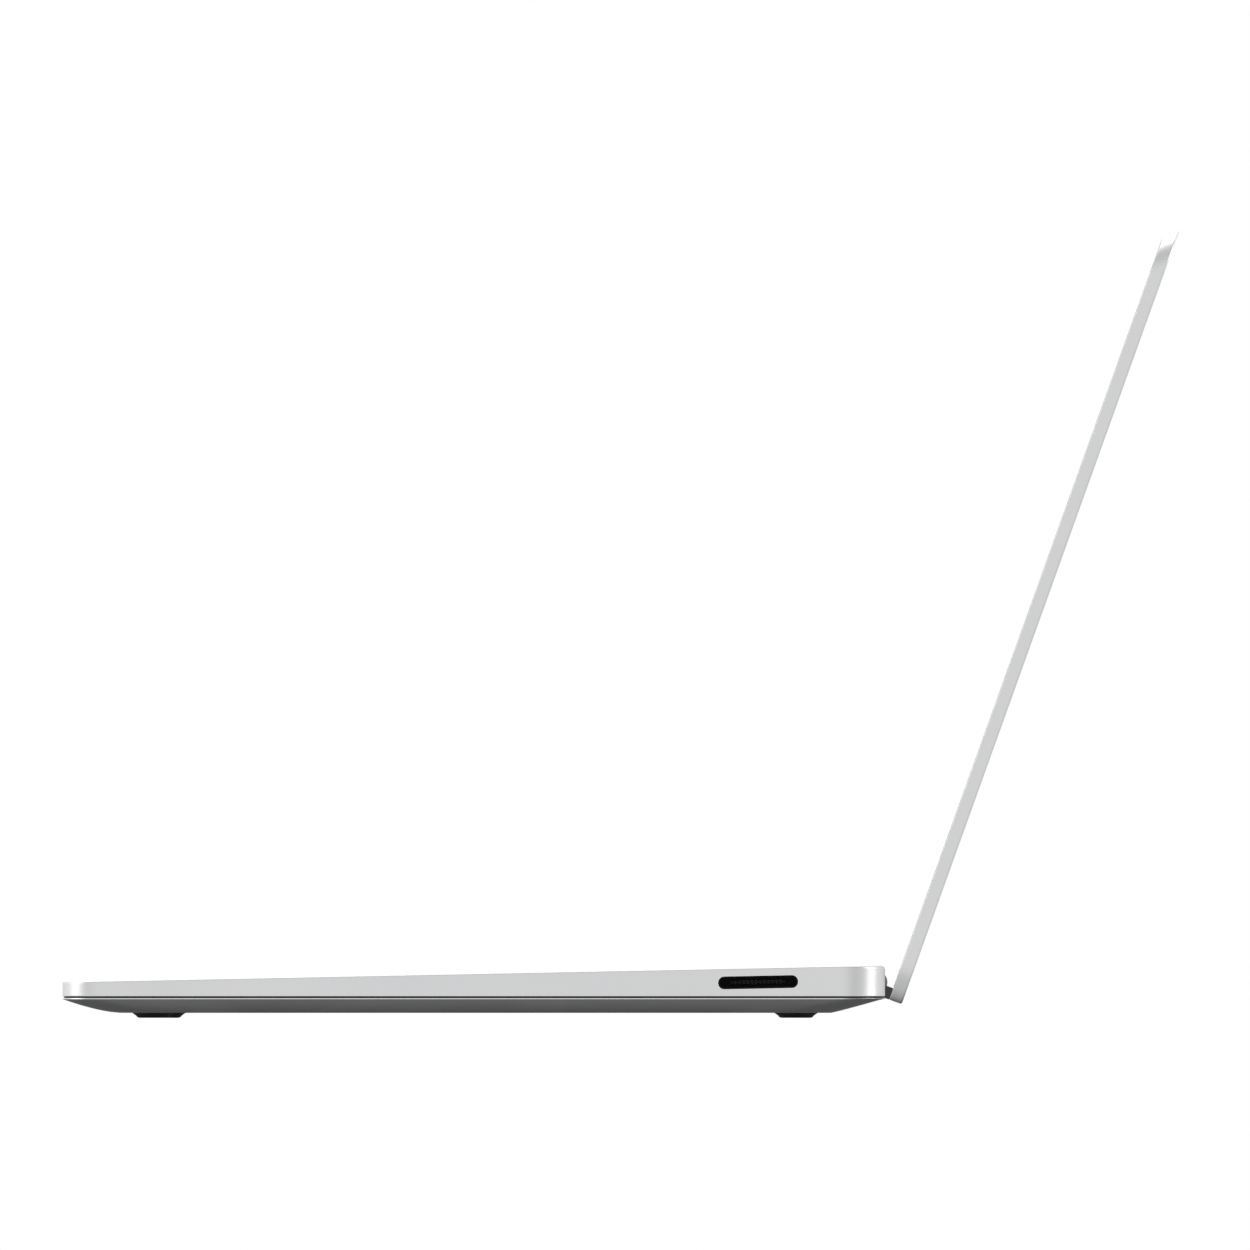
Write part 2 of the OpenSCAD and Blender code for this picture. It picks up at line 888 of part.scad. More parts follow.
module ear(x) {
    translate([x, axis_y, axis_z])
        rotate([0, 90, 0])
            cylinder(r = ear_r, h = ear_w);
    span([x, bracket_end - 5, axis_z - ear_r], [x + ear_w, axis_y, axis_z + ear_r]);
    span([x, bracket_end - 5, bracket_z], [x + ear_w, bracket_end, axis_z + ear_r]);
}

module hinge_bracket(side) {
    screw_at = half_w - foot_side;
    color("#5d6064")
        mirror([side < 0 ? 1 : 0, 0, 0])
            difference() {
                union() {
                    span(
                        [hinge_x - bracket_half, bracket_y, bracket_z],
                        [bracket_outer, bracket_end, bracket_z + bracket_t]
                    );
                    ear(hinge_x - pin_half);
                    ear(hinge_x + pin_half - ear_w);
                    translate([screw_at, half_d - foot_in, cover_boss_z])
                        cylinder(r = boss_r, h = bracket_z - cover_boss_z + 0.5);
                }
                translate([screw_at, half_d - foot_in, 0])
                    cylinder(r = screw_r + screw_fit, h = bracket_z + bracket_t + 1);
                for (x = boss_xs)
                    translate([hinge_x + x, boss_y, 0])
                        cylinder(r = screw_r + screw_fit, h = bracket_z + bracket_t + 1);
                pin_space(0);
            }
}

module pin_space(fit) {
    translate([hinge_x - pin_half - 1, axis_y, axis_z])
        rotate([0, 90, 0])
            cylinder(r = pin_r + fit, h = 2 * pin_half + 2);
}

module hinge_bracket_left() { hinge_bracket(-1); }
module hinge_bracket_right() { hinge_bracket(1); }

module hinge_pin(side) {
    color("#a5a8ab")
        translate([side * hinge_x - pin_half, axis_y, axis_z])
            rotate([0, 90, 0])
                cylinder(r = pin_r, h = 2 * pin_half);
}

module hinge_pin_left() { hinge_pin(-1); }
module hinge_pin_right() { hinge_pin(1); }

module hinge_screws() {
    color("#77797c")
        for (s = [-1, 1], x = boss_xs)
            translate([s * (hinge_x + x), boss_y, bracket_z - head_h]) {
                cylinder(r = head_r, h = head_h);
                cylinder(r = screw_r, h = head_h + bracket_t + 4);
            }
}

module display_cable() {
    color("#7a5a2c")
        span(
            [board_x + 52, board_y + board_d - 3, board_z + board_t],
            [board_x + 66, notch_y - notch_wall - 1, board_z + board_t + 0.2]
        );
}

// Lid, open about its hinges

module lid_plan(inset) {
    translate([0, (lid_reach - lid_tail) / 2])
        round_rect([base_w - 2 * inset, lid_reach + lid_tail - 2 * inset], corner_r - inset);
}

// Inside of the rim: a rectangle that stops short of the bevelled free edge
module lid_window(inset, low) {
    high = lid_inner_end - rim_w - inset;
    r = corner_r - rim_w - inset;
    translate([0, (low + high) / 2])
        round_rect([base_w - 2 * (rim_w + inset), high - low], r);
}

lid_skin = 0.9;
lid_floor = -lid_t + lid_skin;
gasket_w = 0.8;
gasket_h = 0.2;
panel_z = -glass_t - inner_gap;
panel_t = lid_t - lid_skin - glass_t - 2 * inner_gap;
leaf_t = 0.7;
leaf_len = 9;
lid_screw_r = 0.7;
lid_screw_at = 8;

module lid_screw_holes() {
    for (s = [-1, 1], x = [-lid_screw_at, lid_screw_at])
        translate([s * hinge_x + x, leaf_len - 3, lid_floor - 0.6])
            cylinder(r = lid_screw_r + screw_fit, h = lid_t);
}

module lid_cover() {
    color(silver)
        in_lid()
            difference() {
                intersection() {
                    translate([0, 0, -lid_t])
                        linear_extrude(lid_t)
                            lid_plan(0);
                    translate([-half_w, 0, 0])
                        rotate([90, 0, 90])
                            linear_extrude(base_w)
                                polygon([
                                    [-lid_tail, 0], [-lid_tail, -lid_t], [lid_reach, -lid_t],
                                    [lid_reach - 0.2, -lid_t + 0.6], [lid_inner_end, 0]
                                ]);
                }
                translate([0, 0, lid_floor])
                    linear_extrude(lid_t)
                        lid_window(0, -lid_tail + lid_skin);
                lid_screw_holes();
            }
}

module display_panel() {
    color("#0c0d10")
        in_lid()
            span(
                [-half_w + bezel_side, bezel_bottom, panel_z - panel_t],
                [half_w - bezel_side, lid_inner_end - bezel_top, panel_z]
            );
}

module cover_glass() {
    color("#15161a")
        in_lid()
            translate([0, 0, -glass_t])
                linear_extrude(glass_t)
                    lid_window(gasket_w, gasket_w + inner_gap);
}

module lid_gasket() {
    color("#1e1f21")
        in_lid()
            translate([0, 0, -glass_t])
                linear_extrude(glass_t + gasket_h)
                    difference() {
                        lid_window(0, inner_gap);
                        lid_window(gasket_w, gasket_w + inner_gap);
                    }
}

module camera_module() {
    y = lid_inner_end - bezel_top / 2 - rim_w / 2;
    color("#101114")
        in_lid() {
            span([-12, y - 2, panel_z - 1.2], [12, y + 2, panel_z - 0.2]);
            translate([0, y, panel_z - 0.5])
                cylinder(r = 1.6, h = 0.5);
        }
}

module display_board() {
    color(board_green)
        in_lid()
            span([-60, 1.5, lid_floor + 0.1], [60, bezel_bottom - 1, lid_floor + 0.9]);
}

module hinge_arm(side) {
    color("#5d6064")
        mirror([side < 0 ? 1 : 0, 0, 0])
            difference() {
                in_lid() {
                    translate([hinge_x - knuckle_w / 2, 0, axis_to_face])
                        rotate([0, 90, 0])
                            cylinder(r = knuckle_r, h = knuckle_w);
                    span(
                        [hinge_x - knuckle_w / 2, -lid_tail + 1, lid_floor],
                        [hinge_x + knuckle_w / 2, -inner_gap, axis_to_face]
                    );
                    difference() {
                        span(
                            [hinge_x - 13, -lid_tail + 1, lid_floor],
                            [hinge_x + 13, leaf_len, lid_floor + leaf_t]
                        );
                        lid_screw_holes();
                    }
                }
                pin_space(pin_fit);
            }
}

module hinge_arm_left() { hinge_arm(-1); }
module hinge_arm_right() { hinge_arm(1); }

module hinge_spine() {
    color(charcoal)
        in_lid()
            difference() {
                span([-notch_half + 1, -lid_tail, 0], [notch_half - 1, 0, spine_back]);
                span_both([hinge_x - hinge_slot - 0.4, -10, -1], [hinge_x + hinge_slot + 0.4, 10, 20]);
            }
}

module lid_screws() {
    color("#77797c")
        in_lid()
            for (s = [-1, 1], x = [-lid_screw_at, lid_screw_at])
                translate([s * hinge_x + x, leaf_len - 3, lid_floor - 0.5]) {
                    cylinder(r = lid_screw_r, h = 0.5 + leaf_t);
                    translate([0, 0, 0.5 + leaf_t])
                        cylinder(r = 1.4, h = 0.4);
                }
}

top_case();
bottom_cover();
foot_front_left();
foot_front_right();
foot_rear_left();
foot_rear_right();
case_screws();
keyboard_plate();
keyboard_membrane();
battery_cells();
mainboard();
processor();
memory_chips();
heat_pipe();
fin_stack();
fan_housing();
ssd_card();
speaker_left();
speaker_right();
charge_port();
usb_c_front();
usb_c_rear();
usb_a_port();
audio_jack();
hinge_bracket_left();
hinge_bracket_right();
hinge_pin_left();
hinge_pin_right();
hinge_screws();
touchpad_frame();
touchpad_switch();
display_cable();
fan_impeller();
touchpad_glass();
touchpad_board();
lid_cover();
display_panel();
cover_glass();
lid_gasket();
camera_module();
display_board();
hinge_arm_left();
hinge_arm_right();
hinge_spine();
lid_screws();
keys_function();
keys_number();
key_backspace();
key_tab();
keys_upper();
key_backslash();
key_caps();
keys_home();
key_enter();
key_shift_left();
keys_lower();
key_shift_right();
keys_modifier();
key_space();
keys_arrow();
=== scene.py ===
import json
import math

import bmesh
import bpy
import numpy as np
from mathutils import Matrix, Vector
from mathutils.geometry import delaunay_2d_cdt


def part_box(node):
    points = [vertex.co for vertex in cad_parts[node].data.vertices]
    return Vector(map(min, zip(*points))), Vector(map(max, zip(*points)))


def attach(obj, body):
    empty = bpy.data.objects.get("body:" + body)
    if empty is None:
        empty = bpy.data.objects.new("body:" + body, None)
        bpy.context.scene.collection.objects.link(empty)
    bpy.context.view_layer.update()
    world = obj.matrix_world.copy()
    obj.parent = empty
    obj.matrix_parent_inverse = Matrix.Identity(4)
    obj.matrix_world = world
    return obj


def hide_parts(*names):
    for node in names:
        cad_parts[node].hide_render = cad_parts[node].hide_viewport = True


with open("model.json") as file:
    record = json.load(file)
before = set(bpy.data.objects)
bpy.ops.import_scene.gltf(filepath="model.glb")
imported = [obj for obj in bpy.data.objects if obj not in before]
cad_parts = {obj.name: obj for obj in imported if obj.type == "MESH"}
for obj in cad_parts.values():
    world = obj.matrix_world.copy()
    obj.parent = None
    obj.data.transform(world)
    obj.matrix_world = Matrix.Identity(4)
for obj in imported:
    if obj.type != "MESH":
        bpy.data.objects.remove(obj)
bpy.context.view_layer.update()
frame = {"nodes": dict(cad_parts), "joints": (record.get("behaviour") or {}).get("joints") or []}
mm = 0.001  # metres in a millimetre
joints = {joint["name"]: joint for joint in frame["joints"]}
print("frame loaded:", len(frame["nodes"]), "nodes")


# places on the object, read from the frame

pressAxis = joints["key_space_press"]["axis"]
slope = math.atan2(pressAxis[1], -pressAxis[2])
hinge = Vector(joints["lid_hinge"]["pos_m"])
lidTilt = math.radians(joints["lid_hinge"]["range_deg"][1] - 90) - slope
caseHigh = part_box("top_case")[1]
halfWidth, halfDepth = caseHigh.x, caseHigh.y
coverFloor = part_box("bottom_cover")[0].z
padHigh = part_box("touchpad_glass")[1]
deckFrontZ = padHigh.z - (padHigh.y + halfDepth) * math.tan(slope)
footNames = ("foot_front_left", "foot_front_right", "foot_rear_left", "foot_rear_right")


def turned(points, angle, origin):
    # turns points about the X direction by angle, then moves them to origin
    cosine, sine = math.cos(angle), math.sin(angle)
    x, y, z = np.asarray(points, float).reshape(-1, 3).T
    return np.stack([x + origin[0], y * cosine - z * sine + origin[1], y * sine + z * cosine + origin[2]], 1)


def fromDeck(points):  # x across, y along the slope from the front edge, z square to the deck
    return turned(points, slope, (0, -halfDepth, deckFrontZ))


def localBox(node, angle, origin):
    # lowest and highest corner of a node, measured in turned axes
    mesh = frame["nodes"][node].data
    points = np.empty(len(mesh.vertices) * 3)
    mesh.vertices.foreach_get("co", points)
    points = turned(points.reshape(-1, 3) - np.array(origin), -angle, (0, 0, 0))
    return points.min(0), points.max(0)


def deckBox(node):
    return localBox(node, slope, (0, -halfDepth, deckFrontZ))


def lidBox(node):
    return localBox(node, math.pi / 2 - lidTilt, hinge)


lidFace = lidBox("lid_cover")[1][2]  # the inner face of the lid, below the hinge axis


def fromLid(points):  # x across, y towards the free edge, z = 0 on the inner face, facing the user
    points = np.asarray(points, float).reshape(-1, 3) + np.array([0, 0, lidFace])
    return turned(points, math.pi / 2 - lidTilt, hinge)


def deckHeight(y):
    return deckFrontZ + (y + halfDepth) * math.tan(slope)


# surfaces put together from grids and flat fills that share their points

fillTolerance = 1e-6  # in millimetres, between points of a flat fill
weldDistance = 1e-6  # in metres, between points that merge
sharpAngle = 32  # in degrees, between faces


def newShape():
    return {"points": np.zeros((0, 3)), "faces": []}


def addGrid(shape, grid, closed=True, skip=()):
    # rows x columns of points, with four-sided faces between neighbours;
    # skip holds the (row, column) pairs that are left open
    rows, columns = grid.shape[:2]
    index = np.arange(rows * columns).reshape(rows, columns) + len(shape["points"])
    shape["points"] = np.vstack([shape["points"], grid.reshape(-1, 3)])
    joinRows(shape, index, closed, skip)
    return index


def joinRows(shape, index, closed=True, skip=()):
    following = np.roll(index, -1, axis=1)
    if not closed:
        index, following = index[:, :-1], following[:, :-1]
    quads = np.stack([index[:-1], following[:-1], following[1:], index[1:]], -1)
    keep = np.ones(quads.shape[:2], bool)
    for row, column in skip:
        keep[row, column] = False
    shape["faces"] += quads[keep].tolist()


def addFill(shape, loops, flat):
    # fills a flat area between an outer loop and convex holes;
    # loops holds their point numbers and flat their coordinates in the plane
    coords = np.vstack(flat)
    owner = np.concatenate([np.full(len(part), number) for number, part in enumerate(loops)])
    indices = np.concatenate(loops)
    edges, start = [], 0
    for part in loops:
        ring = np.arange(len(part)) + start
        edges += np.stack([ring, np.roll(ring, -1)], 1).tolist()
        start += len(part)
    found = delaunay_2d_cdt([Vector(point) for point in coords / mm], edges, [], 1, fillTolerance)
    back = np.array([source[0] for source in found[3]])
    faces = back[np.array(found[2])]
    inHole = (owner[faces] == owner[faces[:, :1]]).all(1) & (owner[faces[:, 0]] > 0)
    shape["faces"] += indices[faces[~inHole]].tolist()


def roundLoop(width, depth, radius, steps=5):
    # rectangle with round corners, counter-clockwise; a direction square to it at each point
    turn = np.linspace(0, math.pi / 2, steps)
    corners, directions = [], []
    for quarter, (xSign, ySign) in enumerate([(1, -1), (1, 1), (-1, 1), (-1, -1)]):
        angle = turn + (quarter - 1) * math.pi / 2
        direction = np.stack([np.cos(angle), np.sin(angle)], 1)
        centre = np.array([xSign * (width / 2 - radius), ySign * (depth / 2 - radius)])
        corners.append(centre + radius * direction)
        directions.append(direction)
    return np.vstack(corners), np.vstack(directions)


def quarterTurn(radius, steps):
    # a quarter round edge as (distance in from the side, drop from the top)
    angle = np.linspace(0, math.pi / 2, steps)
    return np.stack([radius * (1 - np.sin(angle)), radius * (1 - np.cos(angle))], 1)


def loopRows(loop, directions, rows):
    # carries a profile of (inset, height) rows round a loop
    rows = np.asarray(rows, float)
    flat = loop[None] - rows[:, 0, None, None] * directions[None]
    height = np.broadcast_to(rows[:, 1, None, None], flat.shape[:2] + (1,))
    return np.concatenate([flat, height], 2)


def closedShape(grid, plane=(0, 1)):
    # a grid of loops whose first and last loops are filled in the plane of two coordinates
    shape = newShape()
    index = addGrid(shape, grid)
    for ring in (index[0], index[-1]):
        addFill(shape, [ring], [shape["points"][ring][:, plane]])
    return shape


def finishPiece(shape, name, body, material, replaces=(), merge=False, outward=True):
    # a mesh from the shape, with sharp edges past sharpAngle, that rides on its body
    mesh = bpy.data.meshes.new(name)
    mesh.from_pydata(shape["points"].tolist(), [], shape["faces"])
    work = bmesh.new()
    work.from_mesh(mesh)
    if merge:
        bmesh.ops.remove_doubles(work, verts=work.verts, dist=weldDistance)
    if outward:
        bmesh.ops.recalc_face_normals(work, faces=work.faces)
    work.to_mesh(mesh)
    work.free()
    mesh.shade_smooth()
    mesh.set_sharp_from_angle(angle=math.radians(sharpAngle))
    mesh.materials.append(material)
    piece = bpy.data.objects.new(name, mesh)
    bpy.context.scene.collection.objects.link(piece)
    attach(piece, body)
    if replaces:
        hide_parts(*replaces)
    return piece


def placed(shape, place):
    shape["points"] = place(shape["points"])
    return shape


def joined(shapes):
    total = newShape()
    for shape in shapes:
        start = len(total["points"])
        total["points"] = np.vstack([total["points"], shape["points"]])
        total["faces"] += [[index + start for index in face] for face in shape["faces"]]
    return total


def shifted(shape, x=0.0, y=0.0, z=0.0):
    shape["points"] = shape["points"] + np.array([x, y, z])
    return shape


# effects that several finishes share

effectChoices = {
    "fine": {"Detail": 2.0, "Roughness": 0.6},
    "coarse": {"Scale": 22.0, "Detail": 3.0, "Roughness": 0.55},
    "cloud": {"Scale": 35.0, "Detail": 4.0, "Roughness": 0.5},
    "cloudEdge": (0.5, 0.72),
}


def newGroup(name, inputs, outputs):
    group = bpy.data.node_groups.new(name, "ShaderNodeTree")
    for label, kind, value in inputs:
        socket = group.interface.new_socket(name=label, in_out="INPUT", socket_type=kind)
        if value is not None:
            socket.default_value = value
    for label, kind in outputs:
        group.interface.new_socket(name=label, in_out="OUTPUT", socket_type=kind)
    return group, group.nodes.new("NodeGroupInput"), group.nodes.new("NodeGroupOutput")


def plug(tree, socket, value):
    # a value that is a socket is linked, any other is set
    if isinstance(value, bpy.types.NodeSocket):
        tree.links.new(value, socket)
    else:
        socket.default_value = value


def addNode(tree, kind, settings=None, **inputs):
    node = tree.nodes.new(kind)
    for key, value in (settings or {}).items():
        setattr(node, key, value)
    for key, value in inputs.items():
        plug(tree, node.inputs[key.replace("_", " ")], value)
    return node


def mathNode(tree, operation, *values):
    node = addNode(tree, "ShaderNodeMath", {"operation": operation})
    for number, value in enumerate(values):
        plug(tree, node.inputs[number], value)
    return node.outputs["Value"]


def makeGrainGroup():
    # fine even grain: a height for the bump and a mask that varies the roughness
    group, given, result = newGroup(
        "fineGrain",
        [("Vector", "NodeSocketVector", None), ("Size", "NodeSocketFloat", 0.2)],
        [("Height", "NodeSocketFloat"), ("Mask", "NodeSocketFloat")],
    )
    place = given.outputs["Vector"]
    frequency = mathNode(group, "DIVIDE", 1000.0, given.outputs["Size"])  # the size is in millimetres
    fine = addNode(group, "ShaderNodeTexNoise", Vector=place, Scale=frequency, **effectChoices["fine"])
    coarse = addNode(group, "ShaderNodeTexNoise", Vector=place, **effectChoices["coarse"])
    group.links.new(fine.outputs["Fac"], result.inputs["Height"])
    group.links.new(coarse.outputs["Fac"], result.inputs["Mask"])
    return group


def makeTouchGroup():
    # faint finger marks: blotches that make a surface rougher here and there
    group, given, result = newGroup(
        "fingerMarks",
        [("Vector", "NodeSocketVector", None), ("Amount", "NodeSocketFloat", 0.3)],
        [("Mask", "NodeSocketFloat")],
    )
    cloud = addNode(
        group, "ShaderNodeTexNoise", Vector=given.outputs["Vector"], **effectChoices["cloud"]
    )
    start, end = effectChoices["cloudEdge"]
    spread = addNode(
        group, "ShaderNodeMapRange", Value=cloud.outputs["Fac"], From_Min=start, From_Max=end
    )
    amount = mathNode(group, "MULTIPLY", spread.outputs["Result"], given.outputs["Amount"])
    group.links.new(amount, result.inputs["Mask"])
    return group


grainGroup = makeGrainGroup()
touchGroup = makeTouchGroup()


def useGroup(tree, group, **inputs):
    return addNode(tree, "ShaderNodeGroup", {"node_tree": group}, **inputs)


def mixColour(tree, factor, first, second, blend="MIX"):
    node = addNode(tree, "ShaderNodeMix", {"data_type": "RGBA", "blend_type": blend}, Factor=factor)
    for label, value in (("A", first), ("B", second)):
        plug(tree, node.inputs[label], value if isinstance(value, bpy.types.NodeSocket) else (*value, 1))
    return node.outputs["Result"]


def newMaterial(name, recipe):
    # a surface whose colour and roughness drift a little, with grain in its normal and faint finger marks
    material = bpy.data.materials.new(name)
    material.use_nodes = True
    tree = material.node_tree
    shader = tree.nodes["Principled BSDF"]
    shader.inputs["Metallic"].default_value = recipe.get("metallic", 0.0)
    shader.inputs["IOR"].default_value = recipe.get("ior", 1.5)
    for label, value in recipe.get("sockets", {}).items():
        shader.inputs[label].default_value = value
    place = tree.nodes.new("ShaderNodeTexCoord").outputs["Object"]
    if "stretch" in recipe:
        place = addNode(tree, "ShaderNodeMapping", Vector=place, Scale=recipe["stretch"]).outputs["Vector"]
    grain = useGroup(tree, grainGroup, Vector=place, Size=recipe["grain"])
    marks = useGroup(tree, touchGroup, Vector=place, Amount=recipe.get("marks", 0.0))
    tint = mixColour(tree, grain.outputs["Mask"], recipe["colour"], recipe.get("second", recipe["colour"]))
    rough = addNode(
        tree, "ShaderNodeMapRange", Value=grain.outputs["Mask"],
        To_Min=recipe["rough"] - recipe["drift"], To_Max=recipe["rough"] + recipe["drift"],
    ).outputs["Result"]
    rough = mathNode(tree, "ADD", rough, marks.outputs["Mask"])
    bump = addNode(
        tree, "ShaderNodeBump", Height=grain.outputs["Height"],
        Strength=recipe["bump"], Distance=recipe["depth"],
    )
    tree.links.new(tint, shader.inputs["Base Color"])
    tree.links.new(rough, shader.inputs["Roughness"])
    tree.links.new(bump.outputs["Normal"], shader.inputs["Normal"])
    return material


# camera, world and lights

cameraChoices = {
    "distance": 14.85, "frameWidth": 0.3341, "aim": (halfWidth, 0.0405, 0.105), "y": 0.11, "z": 0.0,
    "sensor": 36, "clip": (0.1, 60),
}
# above and below are the room's brightness at steps from the far side (0) to the camera's side (1)
roomChoices = {
    "above": (
        (0.0, 0.8), (0.12, 1.0), (0.42, 1.0), (0.5, 0.8), (0.56, 0.62), (0.8, 0.6), (0.93, 0.82),
        (1.0, 0.87),
    ),
    "below": (
        (0.0, 0.01), (0.05, 0.03), (0.14, 0.12), (0.3, 0.22), (0.5, 0.45), (0.8, 0.52), (0.95, 0.82),
        (1.0, 0.87),
    ),
    "dip": ((0.0, 1.0), (0.6, 1.0), (0.68, 0.88), (0.74, 0.72), (0.8, 0.8), (0.86, 1.0), (1.0, 1.0)),
    "horizon": (-0.12, -0.01), "lowSides": (0.12, 0.5, 0.6), "lowGrey": 0.9,
}
floorChoices = {"grey": 0.86, "reach": 3.2, "points": 9}
lightAim = Vector((0, 0, 0.08))
lightChoices = {
    "overhead": {"at": (-1.5, 0.0, 2.2), "size": (2.0, 2.8), "power": 16, "glossy": True},
    "fill": {"at": (0.0, 0.0, 2.7), "size": (3.0, 3.0), "power": 20, "glossy": False},
    "frontBox": {"at": (0.35, -2.9, 0.9), "size": (1.7, 1.8), "power": 17, "glossy": True},
    "rearBox": {"at": (0.35, 2.9, 0.9), "size": (1.5, 1.8), "power": 21, "glossy": True},
}


def makeCamera(choices):
    data = bpy.data.cameras.new("camera")
    camera = bpy.data.objects.new("camera", data)
    bpy.context.scene.collection.objects.link(camera)
    aim = Vector(choices["aim"])
    camera.location = (aim.x + choices["distance"], choices["y"], choices["z"])
    camera.rotation_mode = "QUATERNION"
    camera.rotation_quaternion = (aim - camera.location).to_track_quat("-Z", "Y")
    data.sensor_width = choices["sensor"]
    data.lens = data.sensor_width * choices["distance"] / choices["frameWidth"]
    data.clip_start, data.clip_end = choices["clip"]
    bpy.context.scene.camera = camera


def roomRamp(tree, direction, steps):
    # greys at steps from one side of the room (0) to the other (1) along a part of the direction
    place = addNode(tree, "ShaderNodeMapRange", Value=direction, From_Min=-1.0, From_Max=1.0)
    ramp = addNode(tree, "ShaderNodeValToRGB", Fac=place.outputs["Result"])
    band = ramp.color_ramp
    while len(band.elements) < len(steps):
        band.elements.new(0.5)
    for element, (position, grey) in zip(band.elements, steps):
        element.position, element.color = position, (grey, grey, grey, 1)
    return ramp.outputs["Color"]


def makeWorld(choices):
    # a soft room that changes from its far side to the camera's side; the camera itself sees plain white
    world = bpy.data.worlds.new("studio")
    world.use_nodes = True
    bpy.context.scene.world = world
    tree = world.node_tree
    tree.nodes.clear()
    direction = tree.nodes.new("ShaderNodeTexCoord").outputs["Generated"]
    parts = addNode(tree, "ShaderNodeSeparateXYZ", Vector=direction)
    height = addNode(
        tree, "ShaderNodeMapRange", {"interpolation_type": "SMOOTHSTEP"}, Value=parts.outputs["Z"],
        From_Min=choices["horizon"][0], From_Max=choices["horizon"][1],
    )
    above = roomRamp(tree, parts.outputs["X"], choices["above"])
    below = roomRamp(tree, parts.outputs["X"], choices["below"])
    # below the horizon it grows lighter to the left and right of the camera
    sideways = mathNode(tree, "ABSOLUTE", parts.outputs["Y"])
    start, end, most = choices["lowSides"]
    sideways = addNode(tree, "ShaderNodeMapRange", Value=sideways, From_Min=start, From_Max=end, To_Max=most)
    below = mixColour(tree, sideways.outputs["Result"], below, (choices["lowGrey"],) * 3)
    # a darker strip of the room shows in the start of the rear corners
    dip = roomRamp(tree, parts.outputs["Y"], choices["dip"])
    light = mixColour(tree, 1.0, mixColour(tree, height.outputs["Result"], below, above), dip, "MULTIPLY")
    room = addNode(tree, "ShaderNodeBackground", Color=light, Strength=1.0)
    paper = addNode(tree, "ShaderNodeBackground", Color=(1, 1, 1, 1), Strength=1.0)
    seen = tree.nodes.new("ShaderNodeLightPath").outputs["Is Camera Ray"]
    mix = addNode(tree, "ShaderNodeMixShader", Fac=seen)
    first, second = mix.inputs[1:]  # the two shader sockets have one name
    tree.links.new(room.outputs["Background"], first)
    tree.links.new(paper.outputs["Background"], second)
    addNode(tree, "ShaderNodeOutputWorld", Surface=mix.outputs["Shader"])


def makeSoftbox(name, choices):
    data = bpy.data.lights.new(name, "AREA")
    data.shape = "RECTANGLE"
    data.size, data.size_y = choices["size"]
    data.energy = choices["power"]
    box = bpy.data.objects.new(name, data)
    bpy.context.scene.collection.objects.link(box)
    box.location = choices["at"]
    box.rotation_mode = "QUATERNION"
    box.rotation_quaternion = (lightAim - box.location).to_track_quat("-Z", "Y")
    box.visible_camera, box.visible_glossy = False, choices["glossy"]


def makeFloor(choices):
    # a flat grid of points, wide enough to lie behind every view
    side = np.linspace(-choices["reach"], choices["reach"], choices["points"])
    x, y = np.meshgrid(side, side)
    shape = newShape()
    addGrid(shape, np.stack([x, y, np.zeros_like(x)], 2), closed=False)
    mesh = bpy.data.meshes.new("floor")
    mesh.from_pydata(shape["points"].tolist(), [], shape["faces"])
    floor = bpy.data.objects.new("floor", mesh)
    bpy.context.scene.collection.objects.link(floor)
    grey = choices["grey"]
    mesh.materials.append(newMaterial("paleFloor", {
        "colour": (grey,) * 3, "second": (grey * 0.985,) * 3,
        "rough": 0.85, "drift": 0.05, "grain": 3.0, "bump": 0.02, "depth": 0.0002,
    }))
    floor.visible_glossy = False  # metal mirrors the dark room below, not the floor


bpy.context.scene.view_settings.view_transform = "Standard"
makeCamera(cameraChoices)
makeWorld(roomChoices)
makeFloor(floorChoices)
for boxName, values in lightChoices.items():
    makeSoftbox(boxName, values)
print("camera, world and lights made")


# finishes

silver = newMaterial("beadBlastedSilver", {
    "metallic": 1.0, "colour": (0.80, 0.803, 0.81), "second": (0.765, 0.769, 0.777),
    "rough": 0.36, "drift": 0.035, "grain": 0.11, "bump": 0.16, "depth": 0.00003, "marks": 0.03,
})
darkSpine = newMaterial("darkMouldedSpine", {
    "colour": (0.085, 0.086, 0.09), "second": (0.07, 0.071, 0.075),
    "rough": 0.5, "drift": 0.06, "grain": 0.2, "bump": 0.3, "depth": 0.00004, "marks": 0.04,
})
footRubber = newMaterial("footRubber", {
    "colour": (0.006, 0.006, 0.0065), "second": (0.01, 0.01, 0.011),
    "rough": 0.8, "drift": 0.08, "grain": 0.25, "bump": 0.4, "depth": 0.00006,
    "sockets": {"Specular IOR Level": 0.2},
})
keyPlastic = newMaterial("keyPlastic", {
    "colour": (0.46, 0.465, 0.475), "second": (0.43, 0.435, 0.445),
    "rough": 0.52, "drift": 0.05, "grain": 0.14, "bump": 0.2, "depth": 0.00003, "marks": 0.05,
})
keyLegend = newMaterial("keyLegend", {
    "colour": (0.03, 0.03, 0.033), "second": (0.04, 0.04, 0.044),
    "rough": 0.5, "drift": 0.05, "grain": 0.2, "bump": 0.1, "depth": 0.00002,
})
padGlass = newMaterial("touchpadGlass", {
    "colour": (0.55, 0.555, 0.565), "second": (0.53, 0.535, 0.545),
    "rough": 0.3, "drift": 0.03, "grain": 0.1, "bump": 0.08, "depth": 0.00002, "marks": 0.1,
    "sockets": {"Coat Weight": 0.5, "Coat Roughness": 0.22},
})
screenGlass = newMaterial("screenGlass", {
    "colour": (0.0075, 0.0078, 0.0095), "second": (0.0095, 0.0098, 0.0115),
    "rough": 0.07, "drift": 0.02, "grain": 0.6, "bump": 0.004, "depth": 0.00002, "marks": 0.03,
    "sockets": {"Specular IOR Level": 0.24},
})
